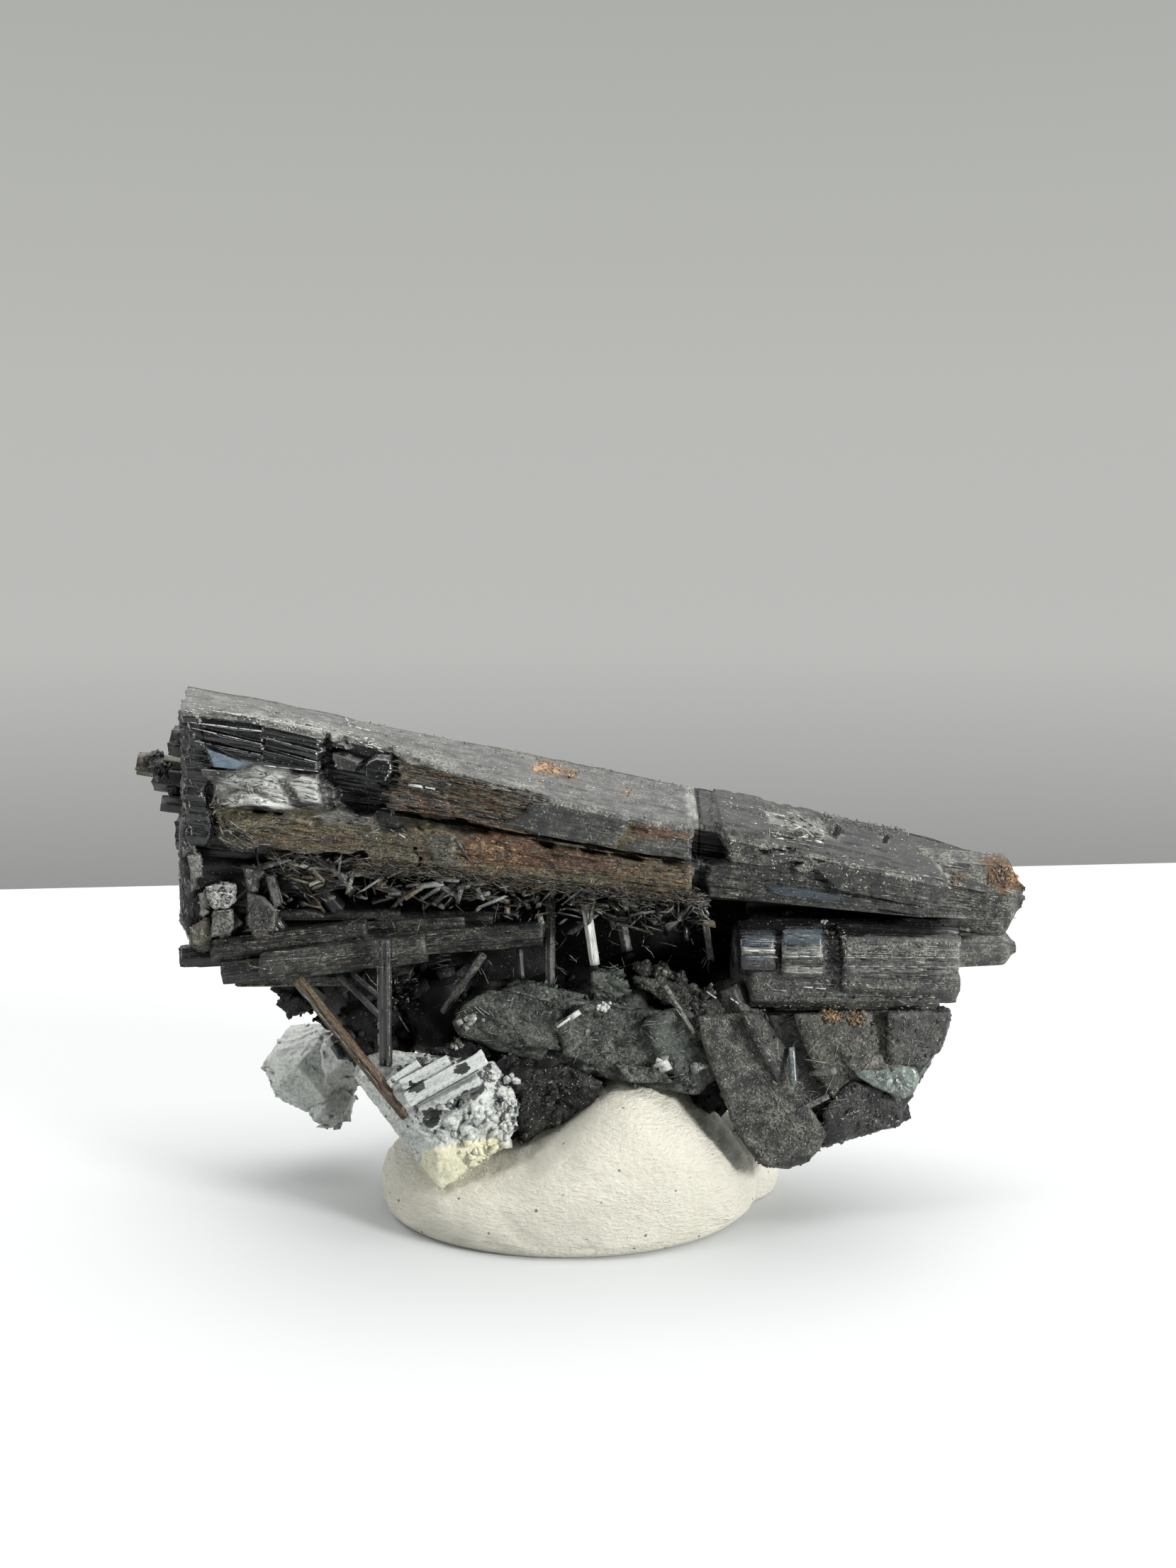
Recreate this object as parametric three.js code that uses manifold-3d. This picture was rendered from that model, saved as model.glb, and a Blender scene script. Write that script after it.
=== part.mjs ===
// A schorl (black tourmaline) specimen: one long tapering crystal with smaller crystals grown
// under and behind it, on a grey-green matrix with white feldspar, standing on a lump of mineral tack.
// Millimetres, +X along the main crystal, +Y to the back, +Z up. The origin is the centre of the
// tack's flat foot.

import * as THREE from "three";
import { mergeVertices } from "three/addons/utils/BufferGeometryUtils.js";
import { ConvexGeometry } from "three/addons/geometries/ConvexGeometry.js";
import Module from "manifold-3d";

const wasm = await Module();
wasm.setup();

// ---- driving dimensions -------------------------------------------------------------------

const GAP = 0.35; // left between two minerals, and between a mineral and the tack
const MERGE = 1e-4; // vertices closer than this are one

const LEFT_END = -22.5; // the main crystal's broken end, at the middle of its depth
const END_SLANT = -0.152; // and how far it leans out for each millimetre further back
const RIGHT_END = 24.4; // where its rounded tip starts
const CRACK = 7.6; // the cross crack that parts its left and right stretches
const BACK = 6.6; // how far the main crystal reaches back
const FRONT = -4.3; // the main crystal's core, behind the slabs on its front

// Heights of the main crystal's lengthwise edges at a place x along it.
const slope = (atCrack, rise) => (x) => atCrack + rise * (CRACK - x);
const topEdge = slope(24.75, 0.203);
const swell = (x) => 0.75 * Math.max(0, 1 - ((x + 12.5) / 12.5) ** 2);
const ridge = (x) => slope(23.3, 0.218)(x) + swell(x);
const seam = slope(21.3, 0.172);
const lowEdge = slope(19.2, 0.098);

// ---- helpers ------------------------------------------------------------------------------

// A repeatable stream of numbers from 0 to 1.
function stream(seed) {
  let state = seed >>> 0;
  return () => {
    state = (Math.imul(state, 1664525) + 1013904223) >>> 0;
    return state / 4294967296;
  };
}

// A closed geometry as a manifold solid.
function solid(geometry) {
  const bare = geometry.index ? geometry.toNonIndexed() : geometry;
  bare.deleteAttribute("normal");
  bare.deleteAttribute("uv");
  const merged = mergeVertices(bare, MERGE);
  return new wasm.Manifold(
    new wasm.Mesh({
      numProp: 3,
      vertProperties: merged.attributes.position.array,
      triVerts: new Uint32Array(merged.index.array),
    }),
  );
}

function join(solids) {
  return solids.reduce((whole, next) => whole.add(next));
}

// The solid in six places a gap apart, so that what it cuts stays clear of it on every side.
function swollen(body) {
  const shifts = [
    [GAP, 0, 0],
    [-GAP, 0, 0],
    [0, GAP, 0],
    [0, -GAP, 0],
    [0, 0, GAP],
    [0, 0, -GAP],
  ];
  return join(shifts.map((shift) => body.translate(shift)));
}

// The largest body that a cut leaves; the crumbs are dropped.
function largest(body) {
  const bodies = body.decompose();
  return bodies.reduce((best, next) => (next.volume() > best.volume() ? next : best));
}

// A crystal from a to b: a faceted prism, `radius` across and `deep` times that in depth.
// tip is the height of its pointed end, and slant tilts the face that it broke along.
function crystal(a, b, radius, options = {}) {
  const { sides = 6, deep = 1, roll = 0, taper = 1, tip = 0, slant = 0 } = options;
  const start = new THREE.Vector3(...a);
  const end = new THREE.Vector3(...b);
  const length = start.distanceTo(end);
  const profile = [
    new THREE.Vector2(0, 0),
    new THREE.Vector2(radius, 0),
    new THREE.Vector2(radius * taper, length - tip),
  ];
  if (tip > 0) profile.push(new THREE.Vector2(radius * taper * 0.35, length));
  profile.push(new THREE.Vector2(0, length));
  const shape = new THREE.LatheGeometry(profile, sides);
  const place = shape.attributes.position;
  for (let i = 0; i < place.count; i++) {
    const far = place.getY(i) > length / 2 ? 1 : -1;
    place.setY(i, place.getY(i) + far * slant * place.getX(i));
  }
  shape.scale(1, 1, deep);
  shape.rotateY(roll);
  const up = new THREE.Vector3(0, 1, 0);
  const along = end.sub(start).normalize();
  shape.applyQuaternion(new THREE.Quaternion().setFromUnitVectors(up, along));
  shape.translate(start.x, start.y, start.z);
  return solid(shape);
}

// A solid through rings of points that all have the same count.
function loft(rings) {
  const count = rings[0].length;
  const middle = (ring) =>
    ring.reduce((sum, p) => sum.add(new THREE.Vector3(...p)), new THREE.Vector3()).divideScalar(count);
  const points = rings.flat();
  const face = [];
  for (let r = 0; r + 1 < rings.length; r++) {
    for (let i = 0; i < count; i++) {
      const j = (i + 1) % count;
      const [p, q] = [r * count + i, r * count + j];
      face.push(p, q + count, q, p, p + count, q + count);
    }
  }
  const ends = [rings[0], rings[rings.length - 1]].map((ring) => middle(ring).toArray());
  const [first, last] = [points.length, points.length + 1];
  const far = (rings.length - 1) * count;
  for (let i = 0; i < count; i++) {
    const j = (i + 1) % count;
    face.push(first, i, j, last, far + j, far + i);
  }
  const geometry = new THREE.BufferGeometry();
  const flat = new Float32Array([...points, ...ends].flat());
  geometry.setAttribute("position", new THREE.BufferAttribute(flat, 3));
  geometry.setIndex(face);
  return solid(geometry);
}

// A long slab on the front of the main crystal, between two heights at each of its stations.
function slab(stations, front, back, bevel = 0.25) {
  return loft(
    stations.map(([x, high, low]) => [
      [x, back, high],
      [x, back, low],
      [x, front + bevel, low],
      [x, front, low + bevel],
      [x, front, high - bevel],
      [x, front + bevel, high],
    ]),
  );
}

// A broken chunk with flat faces: the hull of points scattered near an ellipsoid.
function chunk(at, size, seed, points = 16) {
  const next = stream(seed);
  const scattered = [];
  for (let i = 0; i < points; i++) {
    const height = 1 - (2 * (i + 0.5)) / points;
    const turn = i * 2.39996 + next() * 0.6;
    const reach = 0.82 + 0.3 * next();
    const ring = Math.sqrt(1 - height * height);
    scattered.push(
      new THREE.Vector3(
        at[0] + size[0] * reach * ring * Math.cos(turn),
        at[1] + size[1] * reach * ring * Math.sin(turn),
        at[2] + size[2] * reach * height,
      ),
    );
  }
  return solid(new ConvexGeometry(scattered));
}

// Several chunks that overlap round a line, for a granular edge.
function crumbs(from, to, size, count, seed) {
  const next = stream(seed);
  const made = [];
  for (let i = 0; i < count; i++) {
    const t = (i + 0.5) / count;
    const at = from.map((v, k) => v + (to[k] - v) * t + (next() - 0.5) * size * 0.7);
    const reach = size * (0.7 + 0.5 * next());
    made.push(chunk(at, [reach, reach, reach * 0.9], seed * 31 + i, 9));
  }
  return join(made);
}

// ---- the main crystal ---------------------------------------------------------------------

function mainCrystal() {
  const section = (x, end = 1, lean = 0) => {
    const [top, rim, low] = [topEdge(x), ridge(x), lowEdge(x)];
    const middle = (rim + low) / 2;
    const ring = [
      [2.0, top],
      [BACK - 1.4, top - 0.9],
      [BACK, middle + 0.6],
      [BACK - 1.2, low + 0.4],
      [1.4, low - 1.0],
      [FRONT + 0.7, low],
      [FRONT, middle],
      [FRONT - 0.3, rim - 0.3],
      [FRONT - 0.1, rim],
    ];
    return ring.map(([y, z]) => [x + lean * y, y * end, middle + (z - middle) * end]);
  };
  const core = loft([
    section(LEFT_END, 1, END_SLANT),
    section(-17),
    section(-9),
    section(0),
    section(CRACK),
    section(20),
    section(RIGHT_END, 0.86),
  ]);

  // Slabs that overlap along the front, with the steps where each one broke.
  const upperSlab = [-2, 2, 6.7].map((x) => [x, ridge(x), seam(x)]);
  const slabs = [
    slab([[-21.9, ridge(-21.9), 27.4], [-18, ridge(-18), 26.6], [-13.9, ridge(-13.9), 26.1]], -5.1, -2),
    slab([[-21.6, 27.2, 26.3], [-15.2, 26.3, 25.2]], -4.75, -2),
    slab([[-21.5, 21.9, 20.7], [-14.2, 22.2, 20.8]], -4.7, -2),
    slab([[-10.9, ridge(-10.9), 25.4], [-10.2, ridge(-10.2), seam(-10.2)], ...upperSlab], -5.5, -2),
    slab([[-9.6, 23.9, 22.2], [-4, seam(-4) - 0.3, lowEdge(-4)], [6.8, 21.2, lowEdge(6.8)]], -5.2, -2),
    slab([[-8.2, seam(-8.2) + 0.7, 24.1], [-3.4, seam(-3.4) + 0.6, 23.3]], -5.85, -3, 0.15),
    slab([[-12.6, 23.1, 21.2], [-9.4, 22.9, 20.9]], -4.9, -2),
    slab([[8.7, ridge(8.7), 21.2], [15, ridge(15), 19.9], [21.6, ridge(21.6), 19.1]], -5.2, -2),
    slab([[8.0, 21.3, lowEdge(8)], [14, 20.3, 18.6], [21.4, 19.3, 17.9]], -4.9, -2),
    slab([[12.2, ridge(12.2) + 0.5, 21.0], [17.4, ridge(17.4) + 0.4, 20.5]], -5.0, -1, 0.2),
  ];

  // A raised lip where the right stretch stands a little above the left one.
  const lip = loft(
    [CRACK + 0.2, CRACK + 5.5].map((x, i) => [
      [x, 1.9, topEdge(x) + 0.35 * (1 - i)],
      [x, 4.8, topEdge(x) - 0.6],
      [x, 3.0, topEdge(x) - 2],
      [x, -3, ridge(x) - 0.6],
      [x, FRONT - 0.2, ridge(x) + 0.3 * (1 - i)],
    ]),
  );

  // The rounded, striated tip.
  const tipShape = { sides: 9, deep: 1.5, taper: 0.93, tip: 1.2 };
  const tip = crystal([20.6, -0.8, 18.5], [26.9, -0.6, 18.1], 2.05, tipShape);
  const tipStep = crystal([21.2, -1.4, 17.9], [25.6, -1.4, 17.2], 1.1, { sides: 7, deep: 2.1, tip: 0.5 });
  const rustyCrumbs = crumbs([24.4, -1.8, 20.1], [26.3, -1.2, 19.4], 0.85, 4, 11);

  // Pits and notches: the step left of the middle, the crack, and small hollows on the top face.
  const pits = [
    chunk([-12.4, -5.2, 27.2], [1.1, 1.7, 1.35], 21),
    chunk([-12.9, -5.3, 24.4], [1.3, 1.3, 0.9], 22),
    chunk([CRACK + 0.35, -5.2, 22.3], [0.75, 1.5, 1.25], 23),
    chunk([13.4, -3.9, 23.0], [0.55, 0.6, 0.5], 24),
    chunk([16.9, -3.7, 22.2], [0.5, 0.6, 0.45], 25),
    chunk([-17.5, -5.4, 21.3], [2.4, 1.2, 0.55], 26),
  ];
  const whole = join([core, ...slabs, lip, tip, tipStep, rustyCrumbs]);
  return pits.reduce((left, pit) => left.subtract(pit), whole);
}

// The broken, lumpy stretch low on the left of the main crystal, with its glassy breaks.
function brokenShoulder() {
  return join([
    chunk([-18.3, -3.2, 24.7], [3.7, 1.7, 1.5], 31, 15),
    chunk([-14.6, -3.4, 24.2], [2.7, 1.5, 1.3], 32, 13),
    chunk([-16.6, -3.2, 23.0], [4.8, 1.6, 1.1], 33, 15),
    chunk([-16.2, -3.9, 25.4], [2.0, 1.1, 0.8], 34, 12),
    chunk([-19.6, -4.0, 25.3], [1.7, 1.0, 0.9], 35, 12),
    crystal([-21.7, -2.6, 19.4], [-17.2, -2.2, 19.0], 2.5, { sides: 7, deep: 1.1, slant: 0.12 }),
    crystal([-21.9, -3.9, 17.5], [-19.0, -3.5, 17.7], 1.35, { roll: 0.4, slant: -0.2 }),
    crystal([-20.9, -4.4, 19.6], [-18.9, -4.2, 17.4], 0.9, { sides: 4, roll: 0.3 }),
    crystal([-21.9, -0.6, 21.0], [-14.0, -0.4, 20.4], 2.4, { sides: 6, roll: 0.2 }),
    crystal([-18.4, -3.2, 19.3], [-16.6, -3.0, 16.4], 0.8, { sides: 5, roll: 0.9 }),
    crystal([-15.9, -2.6, 21.4], [-13.2, -2.8, 18.2], 0.7, { sides: 4, roll: 0.4 }),
  ]);
}

// ---- smaller crystals ---------------------------------------------------------------------

// Each row: start, end, radius, options.
const BUNDLE = [
  [[-22.4, -3.5, 15.6], [-17.4, -3.1, 15.8], 0.72, { roll: 0.5 }],
  [[-20.4, -3.9, 16.1], [-11.6, -3.2, 17.0], 0.86, { roll: 0.52, slant: 0.1 }],
  [[-19.9, -4.3, 14.9], [-14.6, -4.0, 15.3], 0.78, { roll: 0.52, slant: -0.15 }],
  [[-17.5, -4.4, 15.3], [-8.2, -3.9, 16.3], 0.98, { roll: 0.5, slant: 0.12 }],
  [[-19.2, -3.6, 14.3], [-12.3, -3.4, 14.3], 0.52, { roll: 0.2 }],
  [[-17.0, -2.6, 17.9], [-9.8, -2.0, 17.8], 0.34, {}],
  [[-14.4, -2.8, 17.0], [-6.0, -2.4, 17.4], 0.42, { roll: 0.4 }],
  [[-12.5, -2.9, 16.1], [-1.4, -2.2, 16.7], 0.85, { roll: 0.5, slant: -0.2 }],
  [[-11.3, -2.0, 17.5], [-4.4, -1.6, 17.5], 0.5, { roll: 0.3 }],
  [[-21.2, 0.4, 16.6], [-4.0, 1.0, 17.2], 1.9, { roll: 0.5 }],
  [[-19.6, 1.2, 14.2], [-6.4, 2.2, 14.8], 1.5, { roll: 0.2 }],
  [[-20.8, 3.6, 16.4], [-2.0, 4.6, 17.4], 2.1, { roll: 0.7 }],
];

const FRONT_RODS = [
  [[-10.2, -5.9, 17.2], [-10.25, -6.1, 9.9], 0.58, { sides: 7, roll: 0.3 }],
  [[-15.4, -5.0, 14.6], [-9.0, -7.3, 7.3], 0.5, { sides: 4, roll: 0.6 }],
  [[-13.2, -4.2, 14.7], [-10.3, -4.8, 12.0], 0.3, {}],
  [[-12.4, -3.9, 14.7], [-10.6, -4.4, 13.3], 0.26, {}],
  [[-7.3, -2.6, 12.1], [-4.8, -4.4, 15.9], 0.3, {}],
  [[-1.0, -1.6, 18.6], [-1.0, -3.0, 13.6], 0.34, { sides: 4, deep: 0.6 }],
  [[-2.9, -1.4, 16.6], [-2.7, -2.4, 14.0], 0.26, { sides: 4 }],
  [[1.1, -3.4, 18.6], [1.6, -3.9, 15.2], 0.36, { roll: 0.2 }],
  [[2.8, -2.4, 19.2], [3.5, -3.0, 15.8], 0.36, { sides: 4, deep: 0.6 }],
  [[7.8, -2.2, 18.9], [8.4, -2.9, 15.3], 0.28, { sides: 3 }],
  [[5.7, -3.6, 17.3], [7.7, -2.8, 18.7], 0.3, { sides: 4 }],
  [[5.6, -5.1, 14.3], [7.2, -6.2, 11.8], 0.25, {}],
  [[-16.6, 3.2, 13.6], [-13.4, 5.4, 7.6], 0.7, { sides: 5 }],
  [[-14.2, 2.4, 13.4], [-12.0, 3.0, 8.6], 0.75, { sides: 6 }],
  [[-17.2, 1.6, 13.4], [-11.2, 1.8, 9.4], 0.5, { sides: 4 }],
  [[12.8, -5.6, 10.8], [12.9, -6.3, 8.8], 0.34, { sides: 5 }],
  [[14.0, -5.2, 9.2], [15.2, -6.3, 9.6], 0.42, { sides: 4, roll: 0.5 }],
  [[13.1, -5.4, 6.9], [14.9, -6.1, 8.1], 0.32, { sides: 5 }],
];

// The second large crystal, under the right half, broken across into three stretches.
function secondCrystal() {
  return join([
    crystal([9.9, -3.4, 14.9], [21.7, -3.1, 14.9], 2.35, { sides: 9, deep: 1.25, slant: -0.22 }),
    crystal([15.4, -4.1, 15.5], [22.5, -3.9, 15.2], 2.05, { sides: 9, deep: 1.15, slant: -0.12 }),
    crystal([12.1, -4.6, 16.1], [14.5, -4.5, 16.1], 1.75, { sides: 9, roll: 0.2 }),
    crystal([9.8, -4.8, 16.2], [11.8, -4.7, 16.2], 1.4, { sides: 9, roll: 0.1 }),
    crystal([10.6, -0.6, 16.6], [21.8, -0.4, 16.2], 2.1, { sides: 6, roll: 0.3 }),
    crystal([19.4, 1.0, 15.0], [27.1, 1.2, 15.1], 0.78, { sides: 7, deep: 1.8, taper: 0.8, tip: 0.8 }),
  ]);
}

// The thick broken prism that reaches down at the right, and the dark crumbs beside it.
function lowerRight() {
  return join([
    crystal([9.2, -3.7, 13.9], [13.0, -4.0, 4.6], 2.25, { sides: 6, roll: 0.52, deep: 0.9, slant: 0.12 }),
    crystal([11.4, -2.6, 13.6], [15.6, -2.4, 5.9], 1.7, { sides: 6, roll: 0.2, slant: -0.15 }),
    crumbs([12.4, -3.6, 4.9], [15.4, -3.0, 6.3], 1.1, 4, 41),
    crumbs([15.6, -3.2, 6.4], [19.2, -2.6, 5.9], 1.35, 5, 42),
    crumbs([21.4, -2.0, 12.8], [19.6, -1.6, 9.2], 1.5, 5, 43),
    chunk([18.2, -1.0, 10.6], [3.7, 3.3, 2.9], 44, 15),
  ]);
}

// Crystals behind the main one, side by side with it, and their broken ends at the left.
function backCrystals() {
  return join([
    crystal([-27.0, 6.0, 25.8], [-12.0, 6.6, 23.4], 0.78, { roll: 0.2 }),
    crystal([-25.9, 5.6, 24.9], [-12.0, 5.8, 23.0], 0.85, { sides: 5, roll: 0.7 }),
    crystal([-25.3, 5.0, 23.4], [-14.0, 5.6, 22.0], 0.66, { roll: 0.5 }),
    crystal([-24.4, 4.4, 27.4], [-12.0, 4.4, 25.3], 1.1, { sides: 7, roll: 0.1 }),
    crystal([-23.9, 3.0, 22.0], [-12.0, 3.4, 20.8], 1.3, { sides: 6, roll: 0.1 }),
    crystal([-21.0, 5.6, 21.6], [14.6, 6.0, 18.3], 2.9, { sides: 9, roll: 0.3, taper: 0.85, slant: 0.1 }),
    crystal([-15.6, 7.6, 18.4], [4.6, 7.9, 17.0], 1.9, { sides: 6, roll: 0.15, slant: -0.2 }),
    crystal([2.2, 7.4, 21.4], [19.2, 6.6, 16.2], 1.7, { sides: 6, roll: 0.4, taper: 0.85, tip: 0.8 }),
    crystal([-6.0, 6.8, 24.1], [8.6, 6.5, 21.0], 1.5, { sides: 6, roll: 0.35, taper: 0.9, tip: 0.7 }),
    crystal([5.0, 7.6, 14.4], [18.8, 6.4, 13.0], 1.8, { sides: 6, roll: 0.1, slant: 0.2 }),
    crystal([-9.4, 8.2, 14.0], [3.2, 8.4, 13.2], 1.6, { sides: 7, roll: 0.5 }),
    crystal([9.6, 6.8, 12.6], [13.8, 7.4, 7.4], 1.3, { sides: 6, roll: 0.2, slant: 0.2 }),
    crystal([-4.8, 7.8, 12.8], [-8.4, 8.6, 8.2], 1.1, { sides: 6, roll: 0.4 }),
    crystal([1.4, 7.2, 13.0], [2.8, 9.0, 8.0], 0.9, { sides: 6 }),
  ]);
}

// What the crystals grew from: the dark granular mass behind the hollow under the main crystal.
function darkRoot() {
  return join([
    chunk([-7.0, 4.2, 14.2], [8.8, 4.5, 5.3], 51, 17),
    chunk([5.0, 4.4, 14.4], [8.8, 4.3, 5.5], 52, 17),
    chunk([-11.0, 2.4, 11.3], [4.9, 3.5, 4.1], 58, 15),
    chunk([9.0, 1.0, 9.6], [3.5, 3.5, 3.7], 59, 13),
    chunk([8.4, -0.6, 8.0], [2.7, 3.1, 3.0], 50, 13),
    chunk([-0.6, 1.6, 10.2], [6.5, 4.3, 4.0], 49, 15),
    chunk([13.6, 1.8, 12.2], [6.1, 4.5, 4.7], 53, 15),
    chunk([-1.0, -1.9, 8.6], [3.4, 4.3, 3.4], 54, 15),
    chunk([-8.0, 0.2, 11.4], [3.6, 3.0, 3.6], 47, 12),
    chunk([-11.6, 0.0, 10.4], [3.4, 2.6, 2.6], 48, 11),
    chunk([14.6, -0.6, 9.0], [3.4, 2.6, 3.0], 46, 11),
    chunk([17.2, -1.8, 8.8], [2.6, 1.8, 1.8], 45, 10),
    crumbs([-3.0, -5.0, 9.2], [1.6, -4.6, 7.4], 1.5, 5, 55),
    crumbs([-3.4, -4.2, 7.2], [-0.2, -4.4, 6.2], 1.4, 4, 56),
    crumbs([4.2, -3.9, 14.9], [9.4, -4.4, 13.4], 0.8, 6, 57),
    crumbs([-18.4, 2.6, 13.4], [-13.2, 4.6, 8.6], 1.25, 7, 60),
  ]);
}

function row(specs) {
  return join(specs.map((spec) => crystal(...spec)));
}

// ---- the other minerals and the tack --------------------------------------------------------

function matrixRock() {
  return join([
    chunk([-3.2, -2.6, 11.8], [3.6, 3.0, 2.2], 61, 22),
    chunk([2.8, -3.0, 11.3], [4.6, 3.0, 2.8], 62, 24),
    chunk([6.6, -2.8, 10.0], [3.0, 2.6, 2.4], 63, 18),
  ]);
}

function feldsparFront() {
  const corners = [
    [-7.2, -7.5, 3.0],
    [-6.2, -5.0, 3.2],
    [-8.8, -4.6, 3.9],
    [-12.3, -5.6, 9.2],
    [-12.2, -3.6, 9.6],
    [-10.4, -5.2, 10.6],
    [-3.1, -7.0, 5.9],
    [-2.9, -4.6, 6.6],
    [-2.9, -6.4, 8.4],
    [-4.2, -5.4, 10.0],
    [-6.0, -7.6, 8.6],
    [-9.6, -7.2, 8.4],
    [-7.3, -7.9, 5.4],
  ];
  const step = { sides: 4, roll: 0.78, deep: 0.8 };
  return join([
    solid(new ConvexGeometry(corners.map((corner) => new THREE.Vector3(...corner)))),
    crystal([-9.6, -6.9, 8.4], [-5.1, -6.5, 11.0], 0.95, step),
    crystal([-10.6, -6.3, 9.3], [-7.4, -6.0, 11.1], 0.7, step),
    crystal([-7.8, -7.0, 7.4], [-4.2, -6.7, 9.5], 0.85, step),
    crystal([-6.4, -7.1, 5.9], [-3.4, -6.6, 7.6], 0.8, step),
  ]);
}

function feldsparBack() {
  return join([
    chunk([-16.6, 6.4, 5.9], [3.3, 2.9, 3.2], 81, 22),
    chunk([-15.4, 6.0, 3.9], [1.9, 2.0, 1.7], 82, 16),
    chunk([-14.0, 5.0, 7.4], [2.4, 2.2, 1.8], 83, 16),
  ]);
}

function paleCrystal() {
  return join([
    chunk([18.0, -4.2, 8.7], [1.9, 1.5, 1.0], 91, 16),
    chunk([19.6, -3.9, 7.9], [1.1, 1.3, 1.1], 92, 14),
  ]);
}

// How high the tack stands above its rim: a bulge in front on the right, and a low bed on the left.
function tackHeight(x, y) {
  const bulge = 5.2 * Math.exp(-(((x - 4.3) / 5.6) ** 2));
  const lobe = 2.2 * Math.exp(-(((x + 9) / 3.5) ** 2) - ((y + 1) / 3.4) ** 2);
  return 3.3 + bulge + lobe;
}

// A lump of tack pressed into a saddle, with a second lobe squeezed out behind at the right.
function tack() {
  const shape = new THREE.IcosahedronGeometry(1, 6);
  const place = shape.attributes.position;
  const p = new THREE.Vector3();
  for (let i = 0; i < place.count; i++) {
    p.fromBufferAttribute(place, i);
    const x = 11.4 * p.x;
    const y = 9.7 * p.y - 0.8;
    const rise = p.z > 0 ? tackHeight(x, y) * p.z ** 0.66 : 2.4 * p.z;
    place.setXYZ(i, x, y, 0.9 + rise);
  }
  const lobe = new THREE.IcosahedronGeometry(1, 2).scale(4.3, 4.6, 3.4).translate(8.8, 2.2, 1.0);
  return solid(shape).add(solid(lobe));
}

// Cuts everything below the foot's plane away.
function standing(body) {
  const below = new THREE.BoxGeometry(60, 60, 20).translate(0, 0, -10);
  return body.subtract(solid(below));
}

// ---- the assembly ---------------------------------------------------------------------------

const schorl = largest(
  join([
    mainCrystal(),
    brokenShoulder(),
    row(BUNDLE),
    row(FRONT_RODS),
    secondCrystal(),
    lowerRight(),
    backCrystals(),
    darkRoot(),
  ]),
);
const matrix = largest(matrixRock().subtract(swollen(schorl)));
const dark = schorl.add(matrix);
const feldspar = largest(feldsparFront().subtract(swollen(dark)));
const feldsparBehind = largest(feldsparBack().subtract(swollen(schorl)));
const pale = largest(paleCrystal().subtract(swollen(schorl)));
const held = join([dark, feldspar, feldsparBehind, pale]);
const putty = largest(standing(tack()).subtract(swollen(held)));

const MATERIALS = {
  schorl: new THREE.MeshStandardMaterial({ color: 0x1b1b1c, roughness: 0.32, metalness: 0 }),
  matrix: new THREE.MeshStandardMaterial({ color: 0x3c413d, roughness: 0.55, metalness: 0 }),
  feldspar: new THREE.MeshStandardMaterial({ color: 0xc9ccc2, roughness: 0.4, metalness: 0 }),
  paleCrystal: new THREE.MeshStandardMaterial({ color: 0x7f8c85, roughness: 0.35, metalness: 0 }),
  tack: new THREE.MeshStandardMaterial({ color: 0xe9e3d3, roughness: 0.75, metalness: 0 }),
};

function meshOf(name, body, material) {
  const { vertProperties, triVerts, numProp, numVert } = body.getMesh();
  const place = new Float32Array(numVert * 3);
  for (let i = 0; i < numVert; i++) {
    place.set(vertProperties.subarray(i * numProp, i * numProp + 3), i * 3);
  }
  const geometry = new THREE.BufferGeometry();
  geometry.setAttribute("position", new THREE.BufferAttribute(place, 3));
  geometry.setIndex(new THREE.BufferAttribute(triVerts, 1));
  const mesh = new THREE.Mesh(geometry, material);
  mesh.name = name;
  return mesh;
}

const specimen = new THREE.Group();
specimen.add(
  meshOf("schorl_cluster", schorl, MATERIALS.schorl),
  meshOf("grey_green_matrix", matrix, MATERIALS.matrix),
  meshOf("feldspar_front", feldspar, MATERIALS.feldspar),
  meshOf("feldspar_back", feldsparBehind, MATERIALS.feldspar),
  meshOf("pale_green_crystal", pale, MATERIALS.paleCrystal),
  meshOf("mineral_tack", putty, MATERIALS.tack),
);

export default specimen;
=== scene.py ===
"""The looks of a schorl (black tourmaline) specimen that stands on a lump of mineral tack.

Lengths are in millimetres until make_piece() turns them into metres. +X runs along the main crystal,
+Y to the back and +Z up. Surface features are placed by the pixel of the photograph that shows them:
at_pixel() and to_pixel() turn pixels into places and back. A shape is a tuple (points, triangles,
marks), and marks are numbers that every point carries into the materials.
"""

import math
from functools import cache, cached_property, partial

import bmesh
import bpy
import numpy as np
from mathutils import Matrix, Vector


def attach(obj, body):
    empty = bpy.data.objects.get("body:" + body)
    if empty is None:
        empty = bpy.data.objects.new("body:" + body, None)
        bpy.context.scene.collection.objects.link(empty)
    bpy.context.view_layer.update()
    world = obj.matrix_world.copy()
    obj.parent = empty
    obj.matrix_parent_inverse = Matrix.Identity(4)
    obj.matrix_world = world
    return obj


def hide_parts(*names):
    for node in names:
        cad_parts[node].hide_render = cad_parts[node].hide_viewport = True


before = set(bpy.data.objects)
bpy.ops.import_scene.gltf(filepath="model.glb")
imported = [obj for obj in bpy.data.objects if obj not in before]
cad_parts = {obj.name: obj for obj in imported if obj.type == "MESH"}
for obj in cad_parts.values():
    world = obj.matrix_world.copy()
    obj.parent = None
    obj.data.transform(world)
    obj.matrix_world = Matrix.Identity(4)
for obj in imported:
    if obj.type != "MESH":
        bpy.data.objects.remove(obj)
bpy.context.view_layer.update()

MM = 0.001
PER_MM = 1 / MM  # the materials' coordinates are in metres

# ---- the main crystal's size, as in the solids ---------------------------------------------------

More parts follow.
